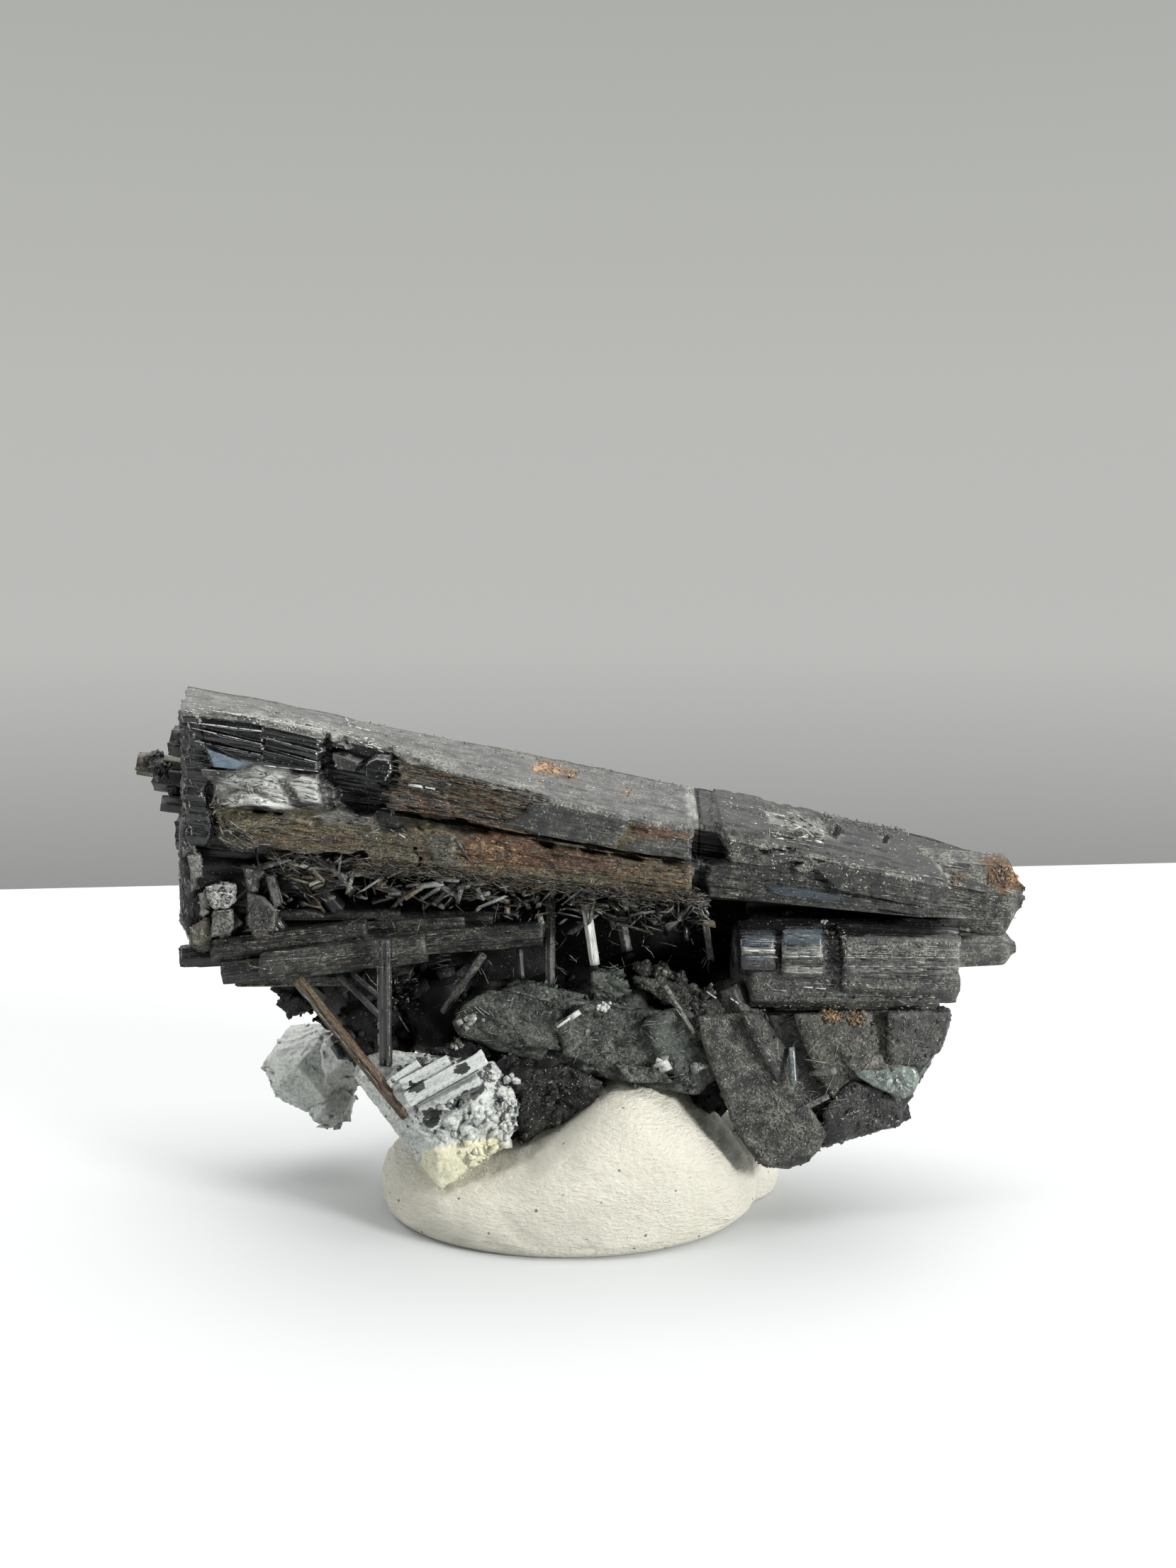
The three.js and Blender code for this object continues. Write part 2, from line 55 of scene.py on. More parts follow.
LEFT_END = -22.5
END_SLANT = -0.152
RIGHT_END = 24.4
CRACK = 7.6
BACK = 6.6
FRONT = -4.3
FOOT_IN = 0.7  # how far the front's lower edge lies back
RIM_BEVEL = 0.3
RIDGE_RISE = ([-22.5, -18.0, -9.0, -5.0, 0.0], [0.2, 0.75, 0.65, 0.3, 0.0])  # the rim's swelling, by x


def edge(height, slope):
    """The height of a straight edge by x: its height at the crack and its rise to the left."""
    return lambda x: height + slope * (CRACK - x)


top_edge = edge(24.75, 0.203)
straight_ridge = edge(23.3, 0.218)
seam = edge(21.3, 0.172)
low_edge = edge(19.2, 0.098)


def ridge(x):
    """The height of the rim between the front and the top strip."""
    return straight_ridge(x) + np.interp(x, *RIDGE_RISE)


# ---- the camera and the photograph's pixels ------------------------------------------------------

CAMERA_AT = np.array([1.2, -100.0, 38.0])
CAMERA_PITCH = math.radians(7.27)  # below the horizon
COS_PITCH, SIN_PITCH = math.cos(CAMERA_PITCH), math.sin(CAMERA_PITCH)
PHOTO_WIDTH, PHOTO_HEIGHT = 1659, 2212
FOCAL_PX = 2400
PX_PER_MM = 25.0  # at the front of the specimen
SENSOR = 36.0


def to_pixel(points):
    """Where points fall in the photograph."""
    d = points - CAMERA_AT
    ahead = d[:, 1] * COS_PITCH - d[:, 2] * SIN_PITCH
    up = d[:, 1] * SIN_PITCH + d[:, 2] * COS_PITCH
    return PHOTO_WIDTH / 2 + FOCAL_PX * d[:, 0] / ahead, PHOTO_HEIGHT / 2 - FOCAL_PX * up / ahead


def ray(u, v):
    """The direction in which the camera sees a pixel."""
    right, up = (u - PHOTO_WIDTH / 2) / FOCAL_PX, (PHOTO_HEIGHT / 2 - v) / FOCAL_PX
    return np.array([right, COS_PITCH + up * SIN_PITCH, -SIN_PITCH + up * COS_PITCH])


def at_pixel(u, v, y):
    """The place at depth y that the photograph shows at a pixel."""
    way = ray(u, v)
    return CAMERA_AT + way * (y - CAMERA_AT[1]) / way[1]


def depth_inside(outline, u, v):
    """How far inside an outline places are, in pixels, and below zero outside it."""
    corners = np.array(outline, float)
    nearest, crossings = np.full(len(u), np.inf), np.zeros(len(u), bool)
    for (au, av), (bu, bv) in zip(corners, np.roll(corners, -1, axis=0)):
        du, dv = bu - au, bv - av
        t = np.clip(((u - au) * du + (v - av) * dv) / (du * du + dv * dv), 0, 1)
        nearest = np.minimum(nearest, np.hypot(u - au - t * du, v - av - t * dv))
        if dv != 0:
            crossings ^= ((av > v) != (bv > v)) & (u < au + (v - av) * du / dv)
    return np.where(crossings, nearest, -nearest)


def box(left, top, right, bottom):
    """An upright outline."""
    return [(left, top), (right, top), (right, bottom), (left, bottom)]


# ---- noise ---------------------------------------------------------------------------------------

WORD = 0xFFFFFFFF
CELL_MIX = np.array([374761393, 668265263, 2246822519], np.uint64)
SEED_MIX = 3266489917
BIT_MIX = (1274126177, 2246822519)
OCTAVE_SCALE, OCTAVE_SEED = 2.03, 17


def cell_value(cell, seed):
    """A repeatable number from 0 to 1 for each whole-number cell."""
    n = ((cell & WORD).astype(np.uint64) * CELL_MIX).sum(axis=1)
    n = (n + np.uint64(seed * SEED_MIX % 2**32)) & WORD
    n = ((n ^ (n >> 13)) * BIT_MIX[0]) & WORD
    n = ((n ^ (n >> 15)) * BIT_MIX[1]) & WORD
    return ((n ^ (n >> 16)) & 0xFFFFFF) / 0xFFFFFF


def noise(p, seed=0):
    """Smooth value noise from -1 to 1 at points p (N x 3), with features about 1 across."""
    base = np.floor(p).astype(np.int64)
    f = p - base
    f = f * f * (3 - 2 * f)
    total = np.zeros(len(p))
    for corner in np.ndindex(2, 2, 2):
        step = np.array(corner)
        weight = np.prod(np.where(step == 1, f, 1 - f), axis=1)
        total += weight * cell_value(base + step, seed)
    return total * 2 - 1


def fbm(p, octaves=3, seed=0, gain=0.5, ridges=False):
    """Noise in layers, each finer than the last, with sharp ridges if asked."""
    total, size = np.zeros(len(p)), 1.0
    for octave in range(octaves):
        layer = noise(p * OCTAVE_SCALE**octave, seed + octave * OCTAVE_SEED)
        total += size * (1 - 2 * np.abs(layer) if ridges else layer)
        size *= gain
    return total


ridged = partial(fbm, ridges=True)


def stack(*columns):
    """Points from their coordinates, any of which may be one number for all."""
    columns = np.broadcast_arrays(*[np.asarray(c, dtype=float) for c in columns])
    return np.stack(columns, -1).reshape(-1, 3)


def waves(x, y, x_scale, y_scale, seed, layer=0.0):
    """Noise over two directions, with that many features for each unit along them."""
    return noise(stack(x * x_scale, y * y_scale, layer), seed)


def smooth(low, high, v):
    """0 up to low, 1 from high and an even slope between."""
    t = np.clip((v - low) / (high - low), 0, 1)
    return t * t * (3 - 2 * t)


def unit(vectors):
    """Vectors brought to length 1."""
    return vectors / np.maximum(np.linalg.norm(vectors, axis=1, keepdims=True), 1e-9)


# ---- shapes --------------------------------------------------------------------------------------

# The pale mark is partly pale stone and partly painted highlights; the bluish mark is a painted blue
# reflection.
MARKS = {"rust": 0.0, "gloss": 0.3, "dust": 0.3, "pale": 0.0, "cool": 0.0}  # each with its usual value


def with_marks(points, faces, grain, **given):
    """A shape with the given marks and the usual value of every other mark."""
    marks = {"grain": grain}
    for name, usual in MARKS.items():
        marks[name] = np.broadcast_to(np.asarray(given.get(name, usual), float), len(points)).copy()
    return points, faces, marks


def patch_mark(looks, name):
    """What a patch sets a mark to: only the gloss keeps its usual value where none is given."""
    return looks.get(name, MARKS[name] if name == "gloss" else 0.0)


def combine(shapes):
    """One shape from several."""
    points, faces, marks = zip(*shapes)
    starts = np.cumsum([0] + [len(p) for p in points])
    faces = np.concatenate([f + start for f, start in zip(faces, starts)])
    return np.concatenate(points), faces, {k: np.concatenate([m[k] for m in marks]) for k in marks[0]}


def grid_faces(rows, columns):
    """Triangles of a tube of rows x columns points, whose last column joins its first."""
    i, j = np.meshgrid(np.arange(rows - 1), np.arange(columns), indexing="ij")
    k = (j + 1) % columns
    a, b, c, d = i * columns + j, i * columns + k, (i + 1) * columns + k, (i + 1) * columns + j
    return np.concatenate([np.stack([a, b, c], -1).reshape(-1, 3), np.stack([a, c, d], -1).reshape(-1, 3)])


def fan_faces(centre, start, columns, flip):
    """Triangles from a centre to a ring of points."""
    j = np.arange(columns)
    k = (j + 1) % columns
    ends = (start + k, start + j) if flip else (start + j, start + k)
    return np.stack([np.full(columns, centre), *ends], -1)


def axis_matrix(direction):
    """Turns the crystal's own +Y onto a direction by the shortest way."""
    return np.array(Vector((0, 1, 0)).rotation_difference(Vector(direction)).to_matrix())

SOFT_ENDS = 0.12  # how much closer a crystal's rings stand at its ends
END_RINGS = (0.8, 0.55, 0.28)  # the rings of a crystal's broken end, as shares of its section
RIB_WIDTH, RIB_SHARE = 0.16, 0.20  # ribs are this wide, or this share of the radius where that is more
CHIPPED = 0.45  # the noise above which a crystal is chipped
END_WEAR = 0.08  # how much the edges at an end are worn, as a share of the radius
RAGGED = 0.16  # how far the broken ends stand out, as a share of the radius
TIP_SHRINK = 0.65  # how much a crystal's section loses on the way to its tip


def crystal_ring(sides, radius, deep, spacing):
    """A crystal's cross-section: the points round it and the outward way at each."""
    per_side = max(3, int(2 * math.sin(math.pi / sides) * radius * max(1, deep) / spacing))
    corner = np.arange(sides + 1) * 2 * math.pi / sides
    cx, cz = np.sin(corner) * radius, np.cos(corner) * radius * deep
    f = np.linspace(0, 1, per_side, endpoint=False)
    x = (cx[:-1, None] * (1 - f) + cx[1:, None] * f).ravel()
    z = (cz[:-1, None] * (1 - f) + cz[1:, None] * f).ravel()
    out_x, out_z = np.repeat(cz[:-1] - cz[1:], per_side), np.repeat(cx[1:] - cx[:-1], per_side)
    size = np.hypot(out_x, out_z) * np.sign(out_x @ x + out_z @ z)
    return x, z, out_x / size, out_z / size


def crystal(
    a, b, radius, sides=6, deep=1.0, roll=0.0, taper=1.0, tip=0.0, slant=0.0,
    ribs=0.035, chips=0.08, spacing=0.08, step=0.3, seed=0, **looks,
):
    """A faceted crystal from a to b with fine ribs along it, chipped edges and broken ends.

    ribs and chips are depths as shares of the radius; spacing is the distance between points round it,
    and step along it.
    """
    a, b = np.array(a, float), np.array(b, float)
    length = np.linalg.norm(b - a)
    ring_x, ring_z, out_x, out_z = crystal_ring(sides, radius, deep, spacing)
    count, rows = len(ring_x), max(6, int(length / step))
    t = np.linspace(0, 1, rows)[:, None]
    t = t - SOFT_ENDS * np.sin(2 * np.pi * t) / np.pi
    fine = 1.0 / max(RIB_WIDTH, RIB_SHARE * radius)  # ribs for each millimetre

    def end_shape(x, z, key):
        """How far the broken end stands out at a place of the cross-section."""
        rough = fbm(stack(x * fine * 0.4, z * fine * 0.4, key), 3, seed)
        flats = np.round(noise(stack(x * fine * 0.35, z * fine * 0.35, key + 9.0), seed) * 2) / 2
        return radius * RAGGED * (0.35 * rough + 0.8 * flats)

    def end_places(x, z):
        near, far = end_shape(x, z, 1.5) - slant * x, end_shape(x, z, 7.5) + slant * x
        return np.maximum(near, -0.02 * length), length + np.minimum(far, 0.02 * length + 0.02)

    near, far = end_places(ring_x, ring_z)
    along = (1 - t) * near + t * far
    rib = noise(stack(ring_x * fine, ring_z * fine, seed * 3.1), seed + 5)
    rib_fine = noise(stack(ring_x * fine * 2.9, ring_z * fine * 2.9, seed * 1.7), seed + 6)
    flat = np.round(noise(stack(ring_x * fine * 0.4, ring_z * fine * 0.4, seed * 2.3), seed + 7) * 3) / 3
    depth = radius * ribs * (0.6 * (1 - np.abs(rib)) + 0.5 * rib_fine + 1.2 * flat + 0.4)
    xs, zs = np.broadcast_to(ring_x, (rows, count)), np.broadcast_to(ring_z, (rows, count))
    where = stack(xs * fine * 0.7, zs * fine * 0.7, along * 0.35 / max(0.5, radius))
    chip = noise(where, seed + 8).reshape(rows, count)
    from_end = np.minimum(along, length - along)
    depth = depth + radius * chips * (chip > CHIPPED) * (0.5 + chip)
    worn = radius * END_WEAR * smooth(0.3 * radius, 0.0, from_end) * (0.5 + 0.5 * chip)
    depth = np.maximum(depth + worn, 0)
    shrink = 1 + (taper - 1) * t
    if tip > 0:
        shrink = shrink * (1 - TIP_SHRINK * smooth(length - tip, length, along))
    px, pz = xs * shrink - out_x * depth, zs * shrink - out_z * depth
    rings = list(np.stack([px, along, pz], -1))
    for end in (0, -1):
        inner = []
        for share in END_RINGS:
            x, z = px[end] * share, pz[end] * share
            inner.append(np.stack([x, end_places(x, z)[end], z], -1))
        rings = inner[::-1] + rings if end == 0 else rings + inner
    body = np.concatenate(rings)
    points = np.concatenate([body, [rings[0].mean(0)], [rings[-1].mean(0)]])
    faces = np.concatenate(
        [
            grid_faces(len(rings), count),
            fan_faces(len(body), 0, count, flip=True),
            fan_faces(len(body) + 1, len(body) - count, count, flip=False),
        ]
    )
    c, s = math.cos(roll), math.sin(roll)
    rolled = points @ np.array([[c, 0, -s], [0, 1, 0], [s, 0, c]])
    grain = rolled * np.array([1.0, 0.06, 1.0]) + seed * 3.7
    return with_marks(rolled @ axis_matrix(b - a).T + a, faces, grain, **looks)


@cache
def sphere(detail):
    """Directions and triangles of a ball of 20 * 4 ** (detail - 1) triangles."""
    ball = bmesh.new()
    bmesh.ops.create_icosphere(ball, subdivisions=detail, radius=1.0)
    points = np.array([v.co[:] for v in ball.verts])
    faces = np.array([[v.index for v in f.verts] for f in ball.faces])
    ball.free()
    return points, faces


def stream(seed):
    """A repeatable stream of numbers from 0 to 1, the same as the solids use."""
    state = seed % 2**32
    while True:
        state = (state * 1664525 + 1013904223) % 2**32
        yield state / 2**32


def hull_planes(corners):
    """The middle of some points, and the normal and distance of each face of their hull."""
    middle = np.mean(corners, axis=0)
    hull = bmesh.new()
    for corner in corners:
        hull.verts.new(tuple(np.array(corner) - middle))
    bmesh.ops.convex_hull(hull, input=hull.verts[:])
    planes = []
    for face in hull.faces:
        n, at = np.array(face.normal[:]), np.array(face.verts[0].co[:])
        if np.linalg.norm(n) > 0.5:
            planes.append((*(n * np.sign(n @ at)), abs(n @ at)))
    hull.free()
    return middle, np.array(planes)


GRAZING = 0.02  # a hull's face that is turned further away is left out
LEDGE_FORM = np.array([0.5, 0.9, 1.6])  # ledges lie flat: they repeat soonest upwards


def rock(corners, detail=5, bumps=0.08, bump_size=1.0, seed=0, ledges=0.0, **looks):
    """A flat-faced broken rock: the hull of corners, roughened by bumps of that height and size."""
    middle, planes = hull_planes(corners)
    directions, faces = sphere(detail)
    facing = directions @ planes[:, :3].T
    reach = np.where(facing > GRAZING, planes[:, 3] / np.maximum(facing, GRAZING), np.inf).min(axis=1)
    points = middle + directions * reach[:, None]
    lift = bumps * (fbm(points / bump_size, 4, seed, 0.55) - 0.6)
    terrace = noise(points * LEDGE_FORM / bump_size + seed, seed + 3) * 3
    lift = lift + ledges * (np.round(terrace) - terrace)
    points = points + directions * lift[:, None]
    return with_marks(points, faces, points + seed, **looks)


GOLDEN_ANGLE = 2.39996  # it spreads a chunk's corners evenly


def chunk(at, size, seed, corner_count=16, **looks):
    """A rock with the corners of one of the solids' chunks."""
    following = stream(seed)
    corners = []
    for i in range(corner_count):
        height = 1 - (2 * (i + 0.5)) / corner_count
        turn = i * GOLDEN_ANGLE + next(following) * 0.6
        reach = 0.82 + 0.3 * next(following)
        ring = math.sqrt(1 - height * height)
        way = (ring * math.cos(turn), ring * math.sin(turn), height)
        corners.append([at[axis] + size[axis] * reach * way[axis] for axis in range(3)])
    return rock(corners, seed=seed, **looks)


FRONT_SHARE, BEVEL_DEPTH = 0.94, 0.2  # a faceted rock's front is a little smaller than its outline


def faceted(outline, y, tilt=(0.0, 0.0), deep=1.8, **looks):
    """A flat-fronted rock by its outline in pixels: the depth of its front, and how fast the front
    falls back to the right and downwards."""
    middle = np.mean(outline, axis=0)
    corners = []
    for pixel in np.array(outline, float):
        aside, down = (pixel - middle) / PX_PER_MM
        front = y + tilt[0] * aside + tilt[1] * down
        corners.append(at_pixel(*(middle + FRONT_SHARE * (pixel - middle)), front))
        corners.append(at_pixel(*pixel, front + BEVEL_DEPTH))
        corners.append(at_pixel(*pixel, front + deep))
    return rock(corners, **looks)


def crumbs(start, end, size, count, seed, **looks):
    """Chunks that overlap round a line, as in the solids."""
    following = stream(seed)
    made = []
    for i in range(count):
        t = (i + 0.5) / count
        at = [v + (w - v) * t + (next(following) - 0.5) * size * 0.7 for v, w in zip(start, end)]
        reach = size * (0.7 + 0.5 * next(following))
        made.append(chunk(at, (reach, reach, reach * 0.9), seed * 31 + i, 9, **looks))
    return combine(made)


def many(points, faces, looks):
    """One shape from many like ones: the points of each, and the triangles of one."""
    count, each = points.shape[:2]
    every = np.array(faces)[None] + np.arange(count)[:, None, None] * each
    spread = {k: np.repeat(np.broadcast_to(v, count), each) for k, v in looks.items()}
    flat = points.reshape(-1, 3)
    return with_marks(flat, every.reshape(-1, 3), flat, **spread)


BOX_CORNERS = np.array(list(np.ndindex(2, 2, 2)), float) * 2 - 1
BOX_FACES = [
    (0, 1, 3), (0, 3, 2), (4, 6, 7), (4, 7, 5), (0, 4, 5), (0, 5, 1),
    (2, 3, 7), (2, 7, 6), (0, 2, 6), (0, 6, 4), (1, 5, 7), (1, 7, 3),
]


def shards(middle, along, out, sizes, rng, jitter=0.25, **looks):
    """Small angular splinters, each with its middle, its long way, its outward way and three sizes."""
    along = unit(along)
    side = unit(np.cross(out, along))
    ways = np.stack([along, side, np.cross(along, side)], axis=1)
    corners = BOX_CORNERS[None] * (1 + rng.uniform(-jitter, jitter, (len(middle), 8, 3)))
    corners = corners * sizes[:, None, :] / 2
    points = middle[:, None, :] + sum(corners[:, :, k, None] * ways[:, None, k] for k in range(3))
    return many(points, BOX_FACES, looks)


HAIR_RINGS = ((0.0, 1.0), (0.45, 1.0), (0.85, 0.7))  # how far along a needle, and how thick there
HAIR_BEND = 0.12  # how far needles bend, as a share of their length
HAIR_TURNS = (0.0, 2.1, 4.2)  # a needle's three sides
HAIR_FACES = np.concatenate([[(0, 2, 1)], grid_faces(3, 3), fan_faces(9, 6, 3, flip=False)])


def hairs(start, direction, length, width, rng, **looks):
    """Thin bent three-sided needles that end in a point."""
    direction = unit(direction)
    side = unit(np.cross(direction, rng.normal(size=direction.shape)))
    up = np.cross(direction, side)
    sag = side * (rng.normal(0, HAIR_BEND, len(start)) * length)[:, None]
    rings = []
    for share, thick in HAIR_RINGS:
        spine = start + direction * (length * share)[:, None] + sag * (4 * share * (1 - share))
        for turn in HAIR_TURNS:
            spoke = side * math.cos(turn) + up * math.sin(turn)
            rings.append(spine + spoke * (width * thick / 2)[:, None])
    rings.append(start + direction * length[:, None])
    return many(np.stack(rings, axis=1), HAIR_FACES, looks)


def on_surface(shape, count, rng):
    """Random places on a shape with the outward way at each."""
    points, faces, _ = shape
    a, b, c = points[faces[:, 0]], points[faces[:, 1]], points[faces[:, 2]]
    normal = np.cross(b - a, c - a)
    area = np.linalg.norm(normal, axis=1)
    chosen = rng.choice(len(faces), count, p=area / area.sum())
    s, t = rng.uniform(0, 1, (2, count, 1))
    s, t = np.where(s + t > 1, 1 - s, s), np.where(s + t > 1, 1 - t, t)
    places = a[chosen] * (1 - s - t) + b[chosen] * s + c[chosen] * t
    return places, unit(normal[chosen])


def gravel(shape, count, low, high, rng, flat=0.0, **looks):
    """Angular grains bedded in a shape's surface, from low to high in size, or plates if flat."""
    places, out = on_surface(shape, count, rng)
    size = skewed(low, high / low, (count, 1), rng) * rng.uniform(0.5, 1.4, (count, 3))
    way = unit(rng.normal(size=(count, 3)))
    if flat:
        size[:, 2] *= flat
        way = unit(out + 0.25 * way)
    return shards(places, rng.normal(size=(count, 3)), way, size, rng, 0.35, **looks)


def skewed(low, ratio, count, rng):
    """Random sizes from low to ratio times that, with more small ones."""
    return low * ratio ** rng.uniform(0, 1, count)


# ---- making a piece ------------------------------------------------------------------------------


def make_piece(name, shapes, material, node="schorl_cluster"):
    """A mesh object in metres that rides on the root and stands for one of the CAD's nodes."""
    points, faces, marks = combine(shapes) if isinstance(shapes, list) else shapes
    mesh = bpy.data.meshes.new(name)
    mesh.vertices.add(len(points))
    mesh.vertices.foreach_set("co", (points * MM).astype(np.float32).ravel())
    mesh.loops.add(len(faces) * 3)
    mesh.loops.foreach_set("vertex_index", faces.astype(np.int32).ravel())
    mesh.polygons.add(len(faces))
    mesh.polygons.foreach_set("loop_start", np.arange(0, len(faces) * 3, 3, dtype=np.int32))
    mesh.update(calc_edges=True)
    mesh.validate()
    for key, values in marks.items():
        kind, field = ("FLOAT_VECTOR", "vector") if values.ndim == 2 else ("FLOAT", "value")
        layer = mesh.attributes.new(key, kind, "POINT")
        layer.data.foreach_set(field, values.astype(np.float32).ravel())
    mesh.materials.append(material)
    piece = bpy.data.objects.new(name, mesh)
    bpy.context.scene.collection.objects.link(piece)
    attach(piece, "root")
    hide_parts(node)
    return piece


def cast(u, v, pieces):
    """What the camera sees at pixels: the places on the pieces, the outward ways, and which rays hit."""
    places, ways, hits = [], [], []
    origin = Vector(CAMERA_AT * MM)
    for at_u, at_v in zip(u, v):
        direction, best = Vector(ray(at_u, at_v)), None
        for piece in pieces:
            hit, place, normal, _ = piece.ray_cast(origin, direction)
            if hit and (best is None or (place - origin).length < best[0]):
                best = ((place - origin).length, place, normal)
        hits.append(best is not None)
        places.append(np.array(best[1]) / MM if best else np.zeros(3))
        ways.append(np.array(best[2]) if best else np.array([0.0, -1.0, 0.0]))
    return np.array(places), np.array(ways), np.array(hits)


# ---- materials -----------------------------------------------------------------------------------


class Nodes:
    """Short calls for building the node tree of a material or a world."""

    def __init__(self, owner):
        owner.use_nodes = True
        self.owner, self.tree = owner, owner.node_tree

    def add(self, kind, inputs=(), **settings):
        node = self.tree.nodes.new(kind)
        for key, value in settings.items():
            setattr(node, key, value)
        for key, value in dict(inputs).items():
            self.set(node.inputs[key], value)
        return node

    def set(self, socket, value):
        if isinstance(value, bpy.types.NodeSocket):
            self.tree.links.new(value, socket)
        elif socket.type == "RGBA":
            socket.default_value = (*value, 1.0)
        else:
            socket.default_value = value

    @cached_property
    def place(self):
        return self.add("ShaderNodeTexCoord").outputs["Object"]

    def mark(self, name):
        output = "Vector" if name == "grain" else "Fac"
        return self.add("ShaderNodeAttribute", attribute_name=name).outputs[output]

    def noise(self, vector, scale, detail=3.0, rough=0.5):
        inputs = {"Vector": vector, "Scale": scale, "Detail": detail, "Roughness": rough}
        return self.add("ShaderNodeTexNoise", inputs).outputs["Fac"]

    def patches(self, per_mm, detail=3.0, rough=0.5):
        """Noise fixed to the object, with that many features for each millimetre."""
        return self.noise(self.place, per_mm * PER_MM, detail, rough)

    def ramp(self, value, low, high, out_low=0.0, out_high=1.0):
        inputs = {"Value": value, "From Min": low, "From Max": high, "To Min": out_low, "To Max": out_high}
        return self.add("ShaderNodeMapRange", inputs).outputs["Result"]

    def math(self, operation, a, b):
        return self.add("ShaderNodeMath", {0: a, 1: b}, operation=operation).outputs["Value"]

    def times(self, a, b):
        return self.math("MULTIPLY", a, b)

    def plus(self, a, b):
        return self.math("ADD", a, b)

    def blend(self, factor, a, b):
        return self.add("ShaderNodeMix", {"Factor": factor, 2: a, 3: b}, data_type="FLOAT").outputs[0]

    def mix(self, factor, a, b):
        return self.add("ShaderNodeMix", {"Factor": factor, 6: a, 7: b}, data_type="RGBA").outputs[2]

    def bump(self, height, distance, strength, **after):
        inputs = {"Height": height, "Distance": distance * MM, "Strength": strength, **after}
        return self.add("ShaderNodeBump", inputs).outputs["Normal"]

    def finish(self, **sockets):
        """Sets the shader's sockets; an underscore stands for a space in their names."""
        for key, value in sockets.items():
            self.set(self.tree.nodes["Principled BSDF"].inputs[key.replace("_", " ")], value)
        return self.owner


def new_material(name):
    return Nodes(bpy.data.materials.new(name))


# Colours, and pairs of colours that noise runs between.
TOURMALINE = (0.004, 0.004, 0.0045), (0.020, 0.021, 0.021)
GREY_DUST = (0.192, 0.195, 0.160)
# a painted blue reflection
PAINTED_BLUE_REFLECTION = (0.13, 0.18, 0.22)
# partly pale stone, partly painted highlights
SILVER_SHINE = (0.66, 0.67, 0.63)
OLIVE_STAIN = (0.012, 0.011, 0.006), (0.17, 0.145, 0.075)
BROWN_STAIN = (0.016, 0.007, 0.004), (0.15, 0.070, 0.032)
ORANGE_STAIN = (0.12, 0.050, 0.016), (0.55, 0.33, 0.14)
STAIN_GAPS = (0.008, 0.006, 0.004)
# partly dust, partly painted glints
DUST_SPECK_AND_GLINT = (0.62, 0.61, 0.56)
GREEN_ROCK = (0.003, 0.005, 0.004), (0.034, 0.042, 0.036)
ROCK_DUST = (0.21, 0.215, 0.18)
ROCK_SPECK = (0.60, 0.60, 0.55)
ROCK_WHITE = (0.75, 0.72, 0.65)
CLEAR_FELDSPAR = (0.14, 0.16, 0.15), (0.58, 0.61, 0.565)
FROSTED_FELDSPAR = (0.78, 0.79, 0.74)
# a painted silky sheen
SILKY_SHEEN = (0.68, 0.71, 0.70)
CREAM_FELDSPAR = (0.84, 0.80, 0.55)
INCLUSION = (0.018, 0.020, 0.020)
PALE_GREEN = (0.038, 0.050, 0.045), (0.19, 0.235, 0.205)
PALE_GREEN_FROST = (0.35, 0.38, 0.345)
PUTTY = (0.685, 0.662, 0.56), (0.765, 0.74, 0.64)
# painted shade in the putty's creases
PUTTY_CREASE_SHADE = (0.56, 0.53, 0.43)
PUTTY_SPECK = (0.06, 0.05, 0.04)


